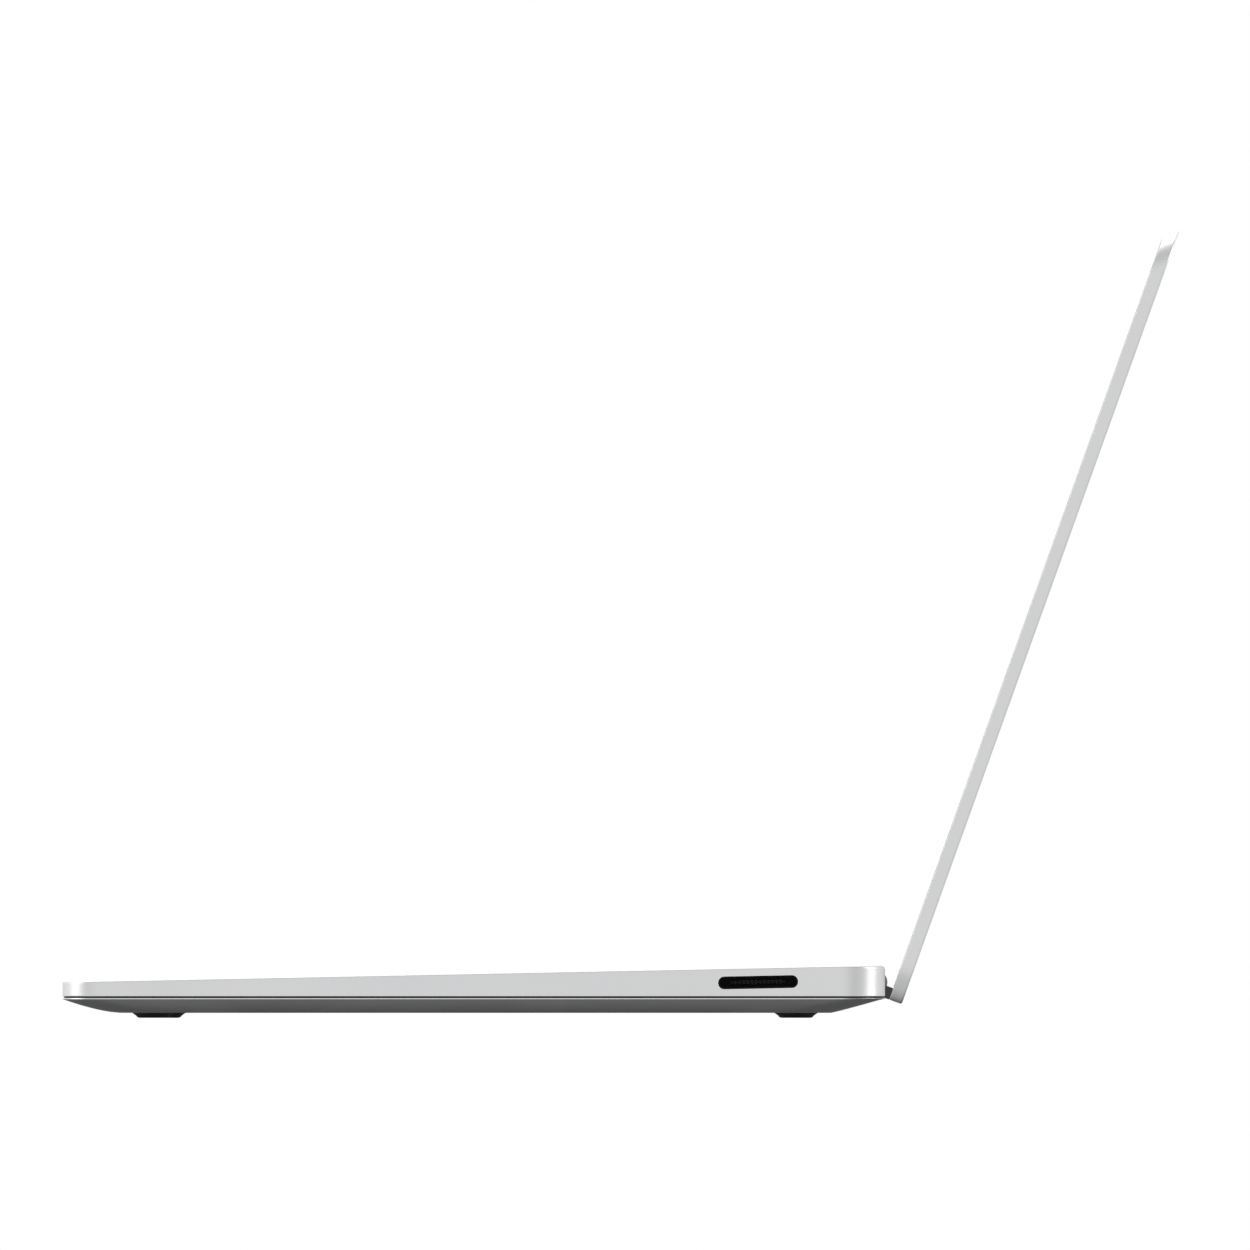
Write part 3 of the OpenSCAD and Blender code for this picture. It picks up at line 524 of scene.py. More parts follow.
borderGlass = newMaterial("borderGlass", {
    "colour": (0.0015, 0.0015, 0.0018), "second": (0.0025, 0.0025, 0.003),
    "rough": 0.07, "drift": 0.02, "grain": 0.6, "bump": 0.004, "depth": 0.00002, "marks": 0.03,
    "sockets": {"Specular IOR Level": 0.16},
})
lensDark = newMaterial("lensSurround", {
    "colour": (0.012, 0.012, 0.013), "second": (0.016, 0.016, 0.018),
    "rough": 0.22, "drift": 0.03, "grain": 0.3, "bump": 0.02, "depth": 0.00001,
})
lensBlue = newMaterial("lensGlass", {
    "colour": (0.006, 0.009, 0.022), "second": (0.01, 0.014, 0.03),
    "rough": 0.05, "drift": 0.02, "grain": 0.4, "bump": 0.01, "depth": 0.00001,
    "sockets": {"Coat Weight": 1.0, "Coat Roughness": 0.02},
})
socketBlack = newMaterial("socketBlack", {
    "colour": (0.003, 0.003, 0.0035), "second": (0.006, 0.006, 0.0065),
    "rough": 0.65, "drift": 0.08, "grain": 0.2, "bump": 0.2, "depth": 0.00003,
    "sockets": {"Specular IOR Level": 0.25},
})
# a near-white finish for the rings on the port lips: painted highlight, brighter than the silver
paintedRimHighlight = newMaterial("paintedRimHighlight", {
    "metallic": 0.35, "colour": (0.94, 0.943, 0.95), "second": (0.9, 0.904, 0.91),
    "rough": 0.3, "drift": 0.04, "grain": 0.3, "bump": 0.05, "depth": 0.00001,
})
gasketRubber = newMaterial("gasketRubber", {
    "colour": (0.018, 0.018, 0.02), "second": (0.026, 0.026, 0.028),
    "rough": 0.6, "drift": 0.06, "grain": 0.2, "bump": 0.2, "depth": 0.00003,
})
steel = newMaterial("brushedSteel", {
    "metallic": 1.0, "colour": (0.42, 0.43, 0.445), "second": (0.36, 0.37, 0.385),
    "stretch": (0.2, 1.0, 1.0), "rough": 0.36, "drift": 0.08, "grain": 0.15, "bump": 0.3, "depth": 0.00003,
})
brightSteel = newMaterial("brightSteel", {
    "metallic": 1.0, "colour": (0.62, 0.63, 0.65), "second": (0.55, 0.56, 0.58),
    "rough": 0.22, "drift": 0.05, "grain": 0.2, "bump": 0.15, "depth": 0.00002,
})
blackPlastic = newMaterial("blackPlastic", {
    "colour": (0.014, 0.014, 0.016), "second": (0.022, 0.022, 0.025),
    "rough": 0.5, "drift": 0.08, "grain": 0.18, "bump": 0.3, "depth": 0.00004,
})
hingeSteel = newMaterial("darkHingeSteel", {
    "metallic": 1.0, "colour": (0.24, 0.243, 0.25), "second": (0.2, 0.203, 0.21),
    "rough": 0.34, "drift": 0.06, "grain": 0.2, "bump": 0.2, "depth": 0.00002,
})
goldContact = newMaterial("goldContact", {
    "metallic": 1.0, "colour": (0.72, 0.5, 0.22), "second": (0.66, 0.45, 0.19),
    "rough": 0.28, "drift": 0.05, "grain": 0.1, "bump": 0.1, "depth": 0.00001,
})
boardGreen = newMaterial("circuitBoard", {
    "colour": (0.012, 0.07, 0.035), "second": (0.02, 0.1, 0.05),
    "rough": 0.42, "drift": 0.1, "grain": 0.9, "bump": 0.3, "depth": 0.00005,
})
chipGrey = newMaterial("chipLid", {
    "metallic": 1.0, "colour": (0.5, 0.51, 0.53), "second": (0.44, 0.45, 0.47),
    "rough": 0.34, "drift": 0.06, "grain": 0.2, "bump": 0.2, "depth": 0.00003,
})
copper = newMaterial("copperPipe", {
    "metallic": 1.0, "colour": (0.68, 0.33, 0.17), "second": (0.55, 0.24, 0.12),
    "rough": 0.34, "drift": 0.1, "grain": 0.5, "bump": 0.2, "depth": 0.00004,
})
finMetal = newMaterial("finMetal", {
    "metallic": 1.0, "colour": (0.6, 0.61, 0.62), "second": (0.5, 0.51, 0.52),
    "rough": 0.35, "drift": 0.08, "grain": 0.3, "bump": 0.2, "depth": 0.00003,
})
batteryFilm = newMaterial("batteryFilm", {
    "colour": (0.02, 0.02, 0.024), "second": (0.035, 0.035, 0.04),
    "rough": 0.42, "drift": 0.1, "grain": 1.4, "bump": 0.35, "depth": 0.0001,
})
cableFilm = newMaterial("cableFilm", {
    "colour": (0.2, 0.12, 0.03), "second": (0.28, 0.17, 0.05),
    "rough": 0.35, "drift": 0.06, "grain": 0.8, "bump": 0.2, "depth": 0.00004,
})
membraneFilm = newMaterial("membraneFilm", {
    "colour": (0.035, 0.037, 0.042), "second": (0.05, 0.052, 0.058),
    "rough": 0.5, "drift": 0.08, "grain": 0.5, "bump": 0.2, "depth": 0.00004,
})
print("finishes made")

cadFinishes = {
    "case_screws": steel, "keyboard_plate": steel, "keyboard_membrane": membraneFilm,
    "battery_cells": batteryFilm, "mainboard": boardGreen, "processor": chipGrey,
    "memory_chips": blackPlastic, "heat_pipe": copper, "fin_stack": finMetal,
    "fan_housing": blackPlastic, "ssd_card": boardGreen, "speaker_left": blackPlastic,
    "speaker_right": blackPlastic, "charge_port": blackPlastic, "usb_c_front": blackPlastic,
    "usb_c_rear": blackPlastic, "usb_a_port": blackPlastic, "audio_jack": blackPlastic,
    "hinge_bracket_left": hingeSteel, "hinge_bracket_right": hingeSteel, "hinge_pin_left": brightSteel,
    "hinge_pin_right": brightSteel, "hinge_screws": steel, "touchpad_frame": steel,
    "touchpad_switch": brightSteel,
    "display_cable": cableFilm, "fan_impeller": blackPlastic, "touchpad_board": boardGreen,
    "display_panel": screenGlass, "camera_module": blackPlastic, "display_board": boardGreen,
    "hinge_arm_left": hingeSteel, "hinge_arm_right": hingeSteel, "lid_screws": steel,
}
for nodeName, finish in cadFinishes.items():
    mesh = frame["nodes"][nodeName].data
    mesh.materials.clear()
    mesh.materials.append(finish)
print("CAD pieces finished:", len(cadFinishes))


# top case: the deck, its openings and the side walls as one skin

cornerRadius, cornerSteps = 11.5 * mm, 17  # of the base and the lid, seen from above
notchHalf, notchFront = 119 * mm, 102.78 * mm  # of the notch for the hinge spine
hingeAt = 105 * mm
seamTop, seamBottom = 5.75 * mm, 5.3 * mm

# a slot or vent is its width, height and corner radius, and a port has its lip and its rise after these;
# the key and touchpad openings are their gap, corner radius and steps in a corner; notchOpening and
# deckOpening are the lip of an opening, its depth and the narrow flat strip beside it
caseChoices = {
    "edge": 0.38 * mm, "rearEdge": 1.15 * mm, "notchEdge": 0.3 * mm, "support": 0.25 * mm,
    "wall": 1.5 * mm, "wallSteps": 4, "wallStart": 0.1 * mm, "wallRise": 1.5 * mm,
    "seamTurn": 0.12 * mm, "seamSupport": (0.08 * mm, 0.05 * mm),
    "hingeSlot": (18.8 * mm, 6.4 * mm, 0.8 * mm), "hingeDrop": 0.25 * mm,
    "vent": (2.0 * mm, 3.6 * mm, 0.9 * mm), "ventAt": 58 * mm, "ventPitch": 3.6 * mm, "ventCount": 15,
    "ventRise": 0.75 * mm, "notchOpening": (0.1 * mm, 1.2 * mm, 0.05 * mm),
    "keyOpening": (0.4 * mm, 1.5 * mm, 5), "padOpening": (0.35 * mm, 2.35 * mm, 9),
    "deckOpening": (0.2 * mm, 1.3 * mm, 0.15 * mm), "portSupport": 0.07 * mm, "fineSteps": 9,
    "ports": {
        "charge_port": (21.4 * mm, 3.4 * mm, 1.66 * mm, 0.2 * mm, -0.1 * mm),
        "usb_c_front": (9.0 * mm, 3.3 * mm, 1.65 * mm, 0.14 * mm, 0.0),
        "usb_c_rear": (9.0 * mm, 3.3 * mm, 1.65 * mm, 0.14 * mm, 0.0),
        "usb_a_port": (13.0 * mm, 4.7 * mm, 0.5 * mm, 0.08 * mm, 0.2 * mm),
        "audio_jack": (4.2 * mm, 4.2 * mm, 2.1 * mm, 0.2 * mm, 0.0),
    },
}
# sizes of the painted highlight rings on the port lips
highlightRimChoices = {"thickness": 0.01 * mm, "below": 0.15 * mm, "beyond": 0.02 * mm, "sink": 0.001 * mm}
leastKeyGap = 0.1 * mm  # between the faces of neighbouring CAD caps


def splitRuns(low, high):
    # numbers the groups of intervals that don't touch one another
    order = np.argsort(low)
    reach = np.maximum.accumulate(high[order])
    number = np.concatenate([[0], np.cumsum(low[order][1:] > reach[:-1] + leastKeyGap)])
    group = np.empty(len(low), int)
    group[order] = number
    return group


def keyRectangles(name):
    # the rectangle of each cap in a row of CAD caps, parted by the gaps between their faces
    mesh = frame["nodes"][name].data
    points, corners = np.empty(len(mesh.vertices) * 3), np.empty(len(mesh.polygons) * 3, int)
    mesh.vertices.foreach_get("co", points)
    mesh.polygons.foreach_get("vertices", corners)
    points = turned(points.reshape(-1, 3) - np.array((0, -halfDepth, deckFrontZ)), -slope, (0, 0, 0))
    faces = points[corners.reshape(-1, 3)]
    low, high = faces.min(1), faces.max(1)
    across = splitRuns(low[:, 0], high[:, 0])
    boxes = []
    for column in range(across.max() + 1):
        columnLow, columnHigh = low[across == column], high[across == column]
        along = splitRuns(columnLow[:, 1], columnHigh[:, 1])
        for row in range(along.max() + 1):
            boxes.append((columnLow[along == row].min(0), columnHigh[along == row].max(0)))
    return sorted(boxes, key=lambda box: (round(box[0][1] / mm), box[0][0]))


keyBodies = [name for name in frame["nodes"] if name.startswith("key") and not name.startswith("keyboard")]
keyBoxes = {name: keyRectangles(name) for name in keyBodies}


def straightened(width, depth, radius, gap, centre=0.0):
    # round rectangle with an extra point on the straight beside each end of each corner
    loop, away = roundLoop(width, depth, radius, cornerSteps)
    along = np.stack([-away[:, 1], away[:, 0]], 1)
    parts = []
    for arc, way in zip(np.split(loop, 4), np.split(along, 4)):
        parts += [arc[:1] - way[:1] * gap, arc, arc[-1:] + way[-1:] * gap]
    return np.vstack(parts) + np.array([0, centre])


def mitred(loop):
    # at each corner, the direction that moves both its sides out by one
    before, after = loop - np.roll(loop, 1, 0), np.roll(loop, -1, 0) - loop
    outA, outB = np.stack([before[:, 1], -before[:, 0]], 1), np.stack([after[:, 1], -after[:, 0]], 1)
    outA = outA / np.linalg.norm(outA, axis=1, keepdims=True)
    outB = outB / np.linalg.norm(outB, axis=1, keepdims=True)
    return (outA + outB) / (1 + (outA * outB).sum(1, keepdims=True))


def casePlan(choices):
    # plan of the case with the notch at the rear, with each point's edge radius
    # and the columns that are long straight stretches of wall
    loop = straightened(2 * halfWidth, 2 * halfDepth, cornerRadius, choices["support"])
    block = cornerSteps + 2
    half, front, gap = notchHalf, notchFront, 4 * choices["support"]
    notch = np.array([
        [half + gap, halfDepth], [half, halfDepth], [half, halfDepth - gap], [half, front + gap],
        [half, front], [half - gap, front], [-half + gap, front], [-half, front],
        [-half, front + gap], [-half, halfDepth - gap], [-half, halfDepth], [-half - gap, halfDepth],
    ])
    rear, small = choices["rearEdge"], choices["notchEdge"]
    radii = np.full(len(loop), choices["edge"])
    turn = np.linspace(choices["edge"], rear, cornerSteps)
    radii[block + 1:2 * block - 1], radii[2 * block - 1] = turn, rear
    radii[2 * block], radii[2 * block + 1:3 * block - 1] = rear, turn[::-1]
    loop = np.vstack([loop[:2 * block], notch, loop[2 * block:]])
    atNotch = [rear] * 2 + [small] * 8 + [rear] * 2
    radii = np.concatenate([radii[:2 * block], atNotch, radii[2 * block:]])
    columns = {"right": block - 1, "notch": 2 * block + 5, "left": 3 * block + 11}
    return loop, mitred(loop), radii[:, None], columns


def caseRows(choices, loop, away, radii):
    # the section from the deck over its round edge, down the wall and in under the seam
    turn = np.linspace(0, math.pi / 2, choices["wallSteps"])[:, None, None]
    gap, start = choices["support"], choices["wallStart"]
    inset = np.concatenate([(radii + gap)[None], radii * (1 - np.sin(turn)), np.zeros((1,) + radii.shape)])
    drop = np.concatenate([(radii * 0)[None], radii * (1 - np.cos(turn)), (radii + start)[None]])
    top = loop[None] - inset * away[None]
    top = np.concatenate([top, deckHeight(top[..., 1:]) - drop], 2)
    small, (above, beside) = choices["seamTurn"], choices["seamSupport"]
    lower = [(0, small + above), (0, small), (0.3 * small, 0.3 * small), (small, 0)]
    lower += [(small + beside, 0), (choices["wall"], 0), (choices["wall"], choices["wallRise"])]
    bottom = loopRows(loop, away, [(inset, seamTop + rise) for inset, rise in lower])
    return np.concatenate([top, bottom])


def addOpening(shape, size, centre, edge, place, steps=5):
    # from the flat round an opening over its lip and down its wall;
    # gives back the loop at the flat with its coordinates
    lip, depth, support = edge
    loop, away = roundLoop(*size, steps)
    rows = [(-lip - support, 0)] + [(-inset, -drop) for inset, drop in quarterTurn(lip, 4)] + [(0, -depth)]
    grid = loopRows(loop, away, rows)
    grid[..., :2] += centre
    index = addGrid(shape, place(grid.reshape(-1, 3)).reshape(grid.shape))
    return index[0], grid[0, :, :2]


def wallFill(shape, index, rows, column, flatOf, openings):
    # closes the flat stretch of wall between two rows round its openings
    upper, lower = rows
    following = column + 1
    outer = index[[upper, upper, lower, lower], [column, following, following, column]]
    loops = [outer] + [ring for ring, _ in openings]
    flat = [flatOf(shape["points"][outer])] + [coordinates for _, coordinates in openings]
    addFill(shape, loops, flat)


# a bright ring on an opening's lip, a painted highlight for the light caught round the opening
def makePortHighlightRim(name, size, centre, lip, place, choices):
    # the bright cut edge that lies on an opening's lip
    loop, away = roundLoop(*size, caseChoices["fineSteps"])
    thickness = choices["thickness"]
    rows = [(-lip - choices["beyond"], -choices["sink"])]
    rows += [(-inset + thickness, -drop) for inset, drop in quarterTurn(lip, 4)]
    rows.append((thickness, -lip - choices["below"]))
    grid = loopRows(loop, away, rows)
    grid[..., :2] += centre
    shape = newShape()
    addGrid(shape, place(grid.reshape(-1, 3)).reshape(grid.shape))
    finishPiece(shape, name + "_highlight_rim", "base", paintedRimHighlight)


def toDeckFlat(points):
    # along the slope and square to the deck
    return turned(points - np.array((0, -halfDepth, deckFrontZ)), -slope, (0, 0, 0))[:, 1:]


def makeTopCase(choices):
    shape = newShape()
    loop, away, radii, columns = casePlan(choices)
    rows = caseRows(choices, loop, away, radii)
    upper, lower = choices["wallSteps"] + 1, choices["wallSteps"] + 2
    index = addGrid(shape, rows, skip=[(upper, column) for column in columns.values()])

    # openings of the keys and the touchpad
    alongSlope, fromFront = np.array([1, 1 / math.cos(slope)]), np.array([0, halfDepth / math.cos(slope)])
    loops, flat = [index[0]], [rows[0, :, :2] * alongSlope + fromFront]
    openings = [(box, *choices["keyOpening"]) for boxes in keyBoxes.values() for box in boxes]
    openings.append((deckBox("touchpad_glass"), *choices["padOpening"]))
    for (low, high), fit, corner, steps in openings:
        size = (high[0] - low[0] + 2 * fit, high[1] - low[1] + 2 * fit, corner)
        ring = addOpening(shape, size, (low + high)[:2] / 2, choices["deckOpening"], fromDeck, steps)
        loops.append(ring[0])
        flat.append(ring[1])
    addFill(shape, loops, flat)

    # openings of the ports in the two side walls
    for side, sign in (("right", 1), ("left", -1)):

        def fromWall(points):
            return fromDeck(np.stack([sign * (halfWidth + points[:, 2]), points[:, 0], points[:, 1]], 1))

        openings = []
        for name, (*size, lip, rise) in choices["ports"].items():
            low, high = deckBox(name)
            if low[0] * sign > 0:
                centre = (low + high)[1:] / 2 + np.array([0, rise])
                edge = (lip, choices["wall"], choices["portSupport"])
                openings.append(addOpening(shape, size, centre, edge, fromWall, choices["fineSteps"]))
                makePortHighlightRim(name, size, centre, lip, fromWall, highlightRimChoices)
        wallFill(shape, index, (upper, lower), columns[side], toDeckFlat, openings)

    # hinge slots and air slots in the notch's wall
    def fromNotch(points):
        return np.stack([points[:, 0], notchFront + points[:, 2], points[:, 1]], 1)

    slot, vent, edge = choices["hingeSlot"], choices["vent"], choices["notchOpening"]
    spots = [(slot, (side * hingeAt, hinge.z - choices["hingeDrop"])) for side in (-1, 1)]
    for number in range(choices["ventCount"]):
        x = choices["ventAt"] + (number - (choices["ventCount"] - 1) / 2) * choices["ventPitch"]
        spots.append((vent, (x, seamTop + choices["ventRise"] + vent[1] / 2)))
    openings = [addOpening(shape, size, np.array(centre), edge, fromNotch) for size, centre in spots]
    wallFill(shape, index, (upper, lower), columns["notch"], lambda points: points[:, [0, 2]], openings)
    return finishPiece(shape, "top_case_skin", "base", silver, ["top_case"])


makeTopCase(caseChoices)
print("top case made")


# bottom cover: a flat floor whose edges curve up to the seam

coverChoices = {
    "sideRun": 15.0 * mm, "sideBend": 1.5, "rearRun": 14.7 * mm, "rearBend": 1.08, "cornerGrowth": 0.28,
    "cornerShrink": 1.5, "support": 0.5 * mm, "levels": 18, "levelSpread": 1.35,
    "topEdge": 0.1 * mm, "band": 0.3 * mm, "lipInset": 0.5 * mm, "lipTop": 5.6 * mm,
    "notchFloor": 4.745 * mm, "notchTop": 5.6 * mm, "shadeStripLap": 0.1 * mm,
    "footRadius": 5.85 * mm, "footOpening": (0.25 * mm, 0.6 * mm, 0.3 * mm), "footSteps": 12,
}


def coverLoop(choices, height, extra=0.0):
    # plan of the cover at a height: its inset is run * (1 - share ^ (1 / bend)), where share is the
    # height's part of the way from the floor to the seam or, at the sides, to the foot of an upright band
    bandFoot = seamBottom - choices["band"]
    share = np.clip((height - coverFloor) / (bandFoot - coverFloor), 0, 1)
    side = choices["sideRun"] * (1 - share ** (1 / choices["sideBend"])) + extra
    share = np.clip((height - coverFloor) / (seamBottom - coverFloor), 0, 1)
    rear = choices["rearRun"] * (1 - share ** (1 / choices["rearBend"])) + extra
    radius = cornerRadius + side * choices["cornerGrowth"] - choices["cornerShrink"] * extra
    loop = straightened(
        2 * (halfWidth - side), 2 * halfDepth - side - rear, radius, choices["support"], (side - rear) / 2
    )
    block, half = cornerSteps + 2, notchHalf
    notch = np.array([[half, 0], [half, 0], [-half, 0], [-half, 0]]) + np.array([0, halfDepth - rear])
    return np.vstack([loop[:2 * block], notch, loop[2 * block:]])


def coverRow(choices, height, extra=0.0):
    plan = coverLoop(choices, height, extra)
    return np.column_stack([plan, np.full(len(plan), height)])


def makeBottomCover(choices):
    shape, block, bandFoot = newShape(), cornerSteps + 2, seamBottom - choices["band"]
    inNotch = slice(2 * block + 1, 2 * block + 3)
    rows = [coverRow(choices, seamBottom, choices["lipInset"]) for _ in range(2)]
    rows[0][:, 2] = choices["lipTop"]
    for row, height in zip(rows, (choices["notchTop"], choices["notchFloor"])):
        row[inNotch, 1], row[inNotch, 2] = notchFront, height
    for inset, drop in quarterTurn(choices["topEdge"], 3):
        rows.append(coverRow(choices, seamBottom, inset))
        rows[-1][:, 2] -= drop
    rows.append(coverRow(choices, bandFoot))
    fall = np.linspace(0, 1, choices["levels"] + 1)[1:] ** choices["levelSpread"]
    rows += [coverRow(choices, bandFoot - (bandFoot - coverFloor) * share) for share in fall]
    shelf = coverLoop(choices, choices["notchFloor"])
    for row in rows[2:]:
        if row[0, 2] > choices["notchFloor"]:
            row[inNotch, 1], row[inNotch, 2] = shelf[inNotch, 1], choices["notchFloor"]
    rows.append(coverRow(choices, coverFloor, choices["support"]))
    index = addGrid(shape, np.array(rows))

    def fromFloor(points):
        return np.stack([points[:, 0], points[:, 1], coverFloor - points[:, 2]], 1)

    loops, flat = [index[-1]], [rows[-1][:, :2]]
    size = (2 * choices["footRadius"], 2 * choices["footRadius"], choices["footRadius"])
    for name in footNames:
        low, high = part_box(name)
        centre = np.array(((low + high) / 2)[:2])
        ring = addOpening(shape, size, centre, choices["footOpening"], fromFloor, choices["footSteps"])
        loops.append(ring[0])
        flat.append(ring[1])
    # the plan's corner at the notch comes twice, so the second point of each pair is left out of the flat
    keep = np.ones(len(loops[0]), bool)
    keep[[2 * block + 1, 2 * block + 3]] = False
    loops[0], flat[0] = loops[0][keep], flat[0][keep]
    addFill(shape, loops, flat)
    return finishPiece(shape, "bottom_cover_skin", "base", silver, ["bottom_cover"], merge=True)


def makeSeamShadeStrip(choices):
    # a black strip that paints the shade on the floor of the groove between the cover and the case, whose
    # own floor is silver
    shape, lap = newShape(), choices["shadeStripLap"]
    rows = np.array([coverRow(choices, seamBottom, choices["lipInset"] - lap) for _ in range(2)])
    rows[0, :, 2] += seamTop - seamBottom + lap
    notchStart = 2 * (cornerSteps + 2) + 2
    addGrid(shape, np.roll(rows, -notchStart, axis=1)[:, :-1], closed=False)
    # the socket black here is painted shade, not the groove's own colour
    return finishPiece(shape, "seam_shade_strip", "base", socketBlack)


makeBottomCover(coverChoices)
makeSeamShadeStrip(coverChoices)
print("bottom cover made")


# feet: turned rubber pads

footChoices = {
    "foot": 5.7 * mm, "tip": 4.75 * mm, "edge": 1.1 * mm, "edgeTurn": 62, "edgeSteps": 8, "round": 64,
    "support": 0.1 * mm, "hollow": 0.06 * mm, "hollowShares": (0.55, 0.62),
}


def latheShape(profile, segments):
    # carries a profile of (radius, height) round the Z direction; ends on the axis close to a point
    profile = np.asarray(profile, float)
    angle = np.linspace(0, 2 * math.pi, segments, endpoint=False)
    ring = np.stack([np.cos(angle), np.sin(angle)], 1)
    flat = profile[:, 0, None, None] * ring[None]
    height = np.broadcast_to(profile[:, 1, None, None], flat.shape[:2] + (1,))
    shape = newShape()
    addGrid(shape, np.concatenate([flat, height], 2))
    return shape


def makeFoot(name, choices):
    low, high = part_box(name)
    middle = (low + high) / 2
    tip, edge = choices["tip"], choices["edge"]
    turn = np.linspace(0, math.radians(choices["edgeTurn"]), choices["edgeSteps"])
    rounding = np.stack([tip - edge + edge * np.sin(turn), edge * (1 - np.cos(turn))], 1)
    hollow, (inner, outer) = choices["hollow"], choices["hollowShares"]
    profile = [(0, hollow), (tip * inner, hollow), (tip * outer, 0), (tip - edge - choices["support"], 0)]
    profile += rounding.tolist() + [(choices["foot"], coverFloor), (choices["foot"], high.z), (0, high.z)]
    shape = shifted(latheShape(profile, choices["round"]), middle.x, middle.y)
    return finishPiece(shape, name + "_pad", "base", footRubber, [name], merge=True)


for footName in footNames:
    makeFoot(footName, footChoices)
print("feet made")


# lid cover: a thin plate with a rim round the glass and an undercut free end

lidChoices = {
    "thickness": 3.55 * mm, "overhang": 2.5 * mm, "endHeight": 0.6 * mm, "endDraw": 0.2 * mm,
    "leastRadius": 1 * mm, "support": 0.4 * mm, "edgeSupport": 0.1 * mm,
    "rim": 1.1 * mm, "hingeRim": 3.5 * mm, "recess": 0.9 * mm,
    "innerEdge": 0.22 * mm, "outerEdge": 0.42 * mm,
    "rimTurn": ((0, -0.14 * mm), (0.04 * mm, -0.04 * mm), (0.14 * mm, 0), (0.24 * mm, 0)),
    "glass": 0.7 * mm, "glassEdge": 0.16 * mm, "glassSupport": 0.3 * mm, "pictureCorner": 1.2 * mm,
    "gasket": 0.8 * mm, "gasketProud": 0.07 * mm, "gasketFullness": 0.7, "gasketSteps": 9,
}
lidLow, lidHigh = lidBox("lid_cover")
freeEnd = lidHigh[1] - lidChoices["overhang"]  # where the inner face ends
glassStart = lidBox("cover_glass")[0][1]


def lidLoop(choices, height, inset, low=None, high=None):
    # plan of the lid at a height, inset all round; its free end draws back towards the inner face
    low = lidLow[1] if low is None else low
    if high is None:
        depth, end, draw = choices["thickness"], choices["endHeight"], choices["endDraw"]
        share = np.clip((height + depth - end) / (depth - end), 0, 1)
        high = lidHigh[1] - draw * min((height + depth) / end, 1)
        high -= (choices["overhang"] - draw) * share
    radius = max(cornerRadius - inset, choices["leastRadius"])
    loop = straightened(
        2 * (halfWidth - inset), high - low - 2 * inset, radius, choices["support"], (high + low) / 2
    )
    return np.column_stack([loop, np.full(len(loop), height)])


def makeLidCover(choices):
    shape = newShape()
    inner, outer, depth = choices["innerEdge"], choices["outerEdge"], choices["thickness"]
    rim, beside = choices["rim"], choices["edgeSupport"]
    window = {"low": lidLow[1] + choices["hingeRim"] - rim, "high": freeEnd}
    rimTurn = ((0, -choices["recess"]), *choices["rimTurn"])
    rows = [lidLoop(choices, height, rim - inset, **window) for inset, height in rimTurn]
    rows.append(lidLoop(choices, 0, inner + beside))
    rows += [lidLoop(choices, -drop, inset) for inset, drop in quarterTurn(inner, 4)]
    rows += [lidLoop(choices, -inner - beside, 0), lidLoop(choices, -depth + outer + beside, 0)]
    rows += [lidLoop(choices, drop - depth, inset) for inset, drop in quarterTurn(outer, 5)[::-1]]
    rows.append(lidLoop(choices, -depth, outer + choices["support"]))
    index = addGrid(shape, np.array(rows))
    addFill(shape, [index[-1]], [rows[-1][:, :2]])
    return finishPiece(placed(shape, fromLid), "lid_cover_skin", "lid", silver, ["lid_cover"])


def makeCoverGlass(choices):
    # dark glass with a soft edge; the picture area is a second finish inside the border
    shape = newShape()
    margin, edge = choices["rim"] + choices["gasket"], choices["glassEdge"]
    window = {"low": glassStart - margin, "high": freeEnd}
    picture = lidBox("display_panel")
    rows = [lidLoop(choices, 0, margin + edge + choices["glassSupport"], **window)]
    rows += [lidLoop(choices, -drop, margin + inset, **window) for inset, drop in quarterTurn(edge, 4)]
    rows += [lidLoop(choices, -choices["glass"], margin, **window)]
    index = addGrid(shape, np.array(rows))
    size = picture[1] - picture[0]
    loop, _ = roundLoop(size[0], size[1], choices["pictureCorner"], 6)
    loop = loop + (picture[0] + picture[1])[:2] / 2
    start = len(shape["points"])
    shape["points"] = np.vstack([shape["points"], np.column_stack([loop, np.zeros(len(loop))])])
    ring = np.arange(len(loop)) + start
    addFill(shape, [index[0], ring], [rows[0][:, :2], loop])
    bordered = len(shape["faces"])
    addFill(shape, [ring], [loop])
    piece = finishPiece(
        placed(shape, fromLid), "cover_glass_plate", "lid", borderGlass, ["cover_glass"]
    )
    piece.data.materials.append(screenGlass)
    finishNumber = np.zeros(len(piece.data.polygons), int)
    finishNumber[bordered:] = 1
    piece.data.polygons.foreach_set("material_index", finishNumber)
    return piece


def makeGasket(choices):
    # a rounded strip of rubber between the rim and the glass, a little proud of both
    shape, rim, width, depth = newShape(), choices["rim"], choices["gasket"], choices["glass"]
    window = {"low": glassStart - rim - width, "high": freeEnd}
    turn = np.linspace(0, math.pi, choices["gasketSteps"])
    across = rim + width * (0.5 - 0.5 * np.cos(turn))
    proud = choices["gasketProud"] * np.sin(turn) ** choices["gasketFullness"]
    rows = [lidLoop(choices, -depth, rim, **window)]
    rows += [lidLoop(choices, height, inset, **window) for inset, height in zip(across, proud)]
    rows += [lidLoop(choices, -depth, rim + width, **window)]
    addGrid(shape, np.array(rows))
    return finishPiece(
        placed(shape, fromLid), "lid_gasket_strip", "lid", gasketRubber, ["lid_gasket"]
    )


lidPieces = [makeLidCover(lidChoices), makeCoverGlass(lidChoices), makeGasket(lidChoices)]
print("lid made")


# keys: soft-edged, slightly dished caps with plain legends

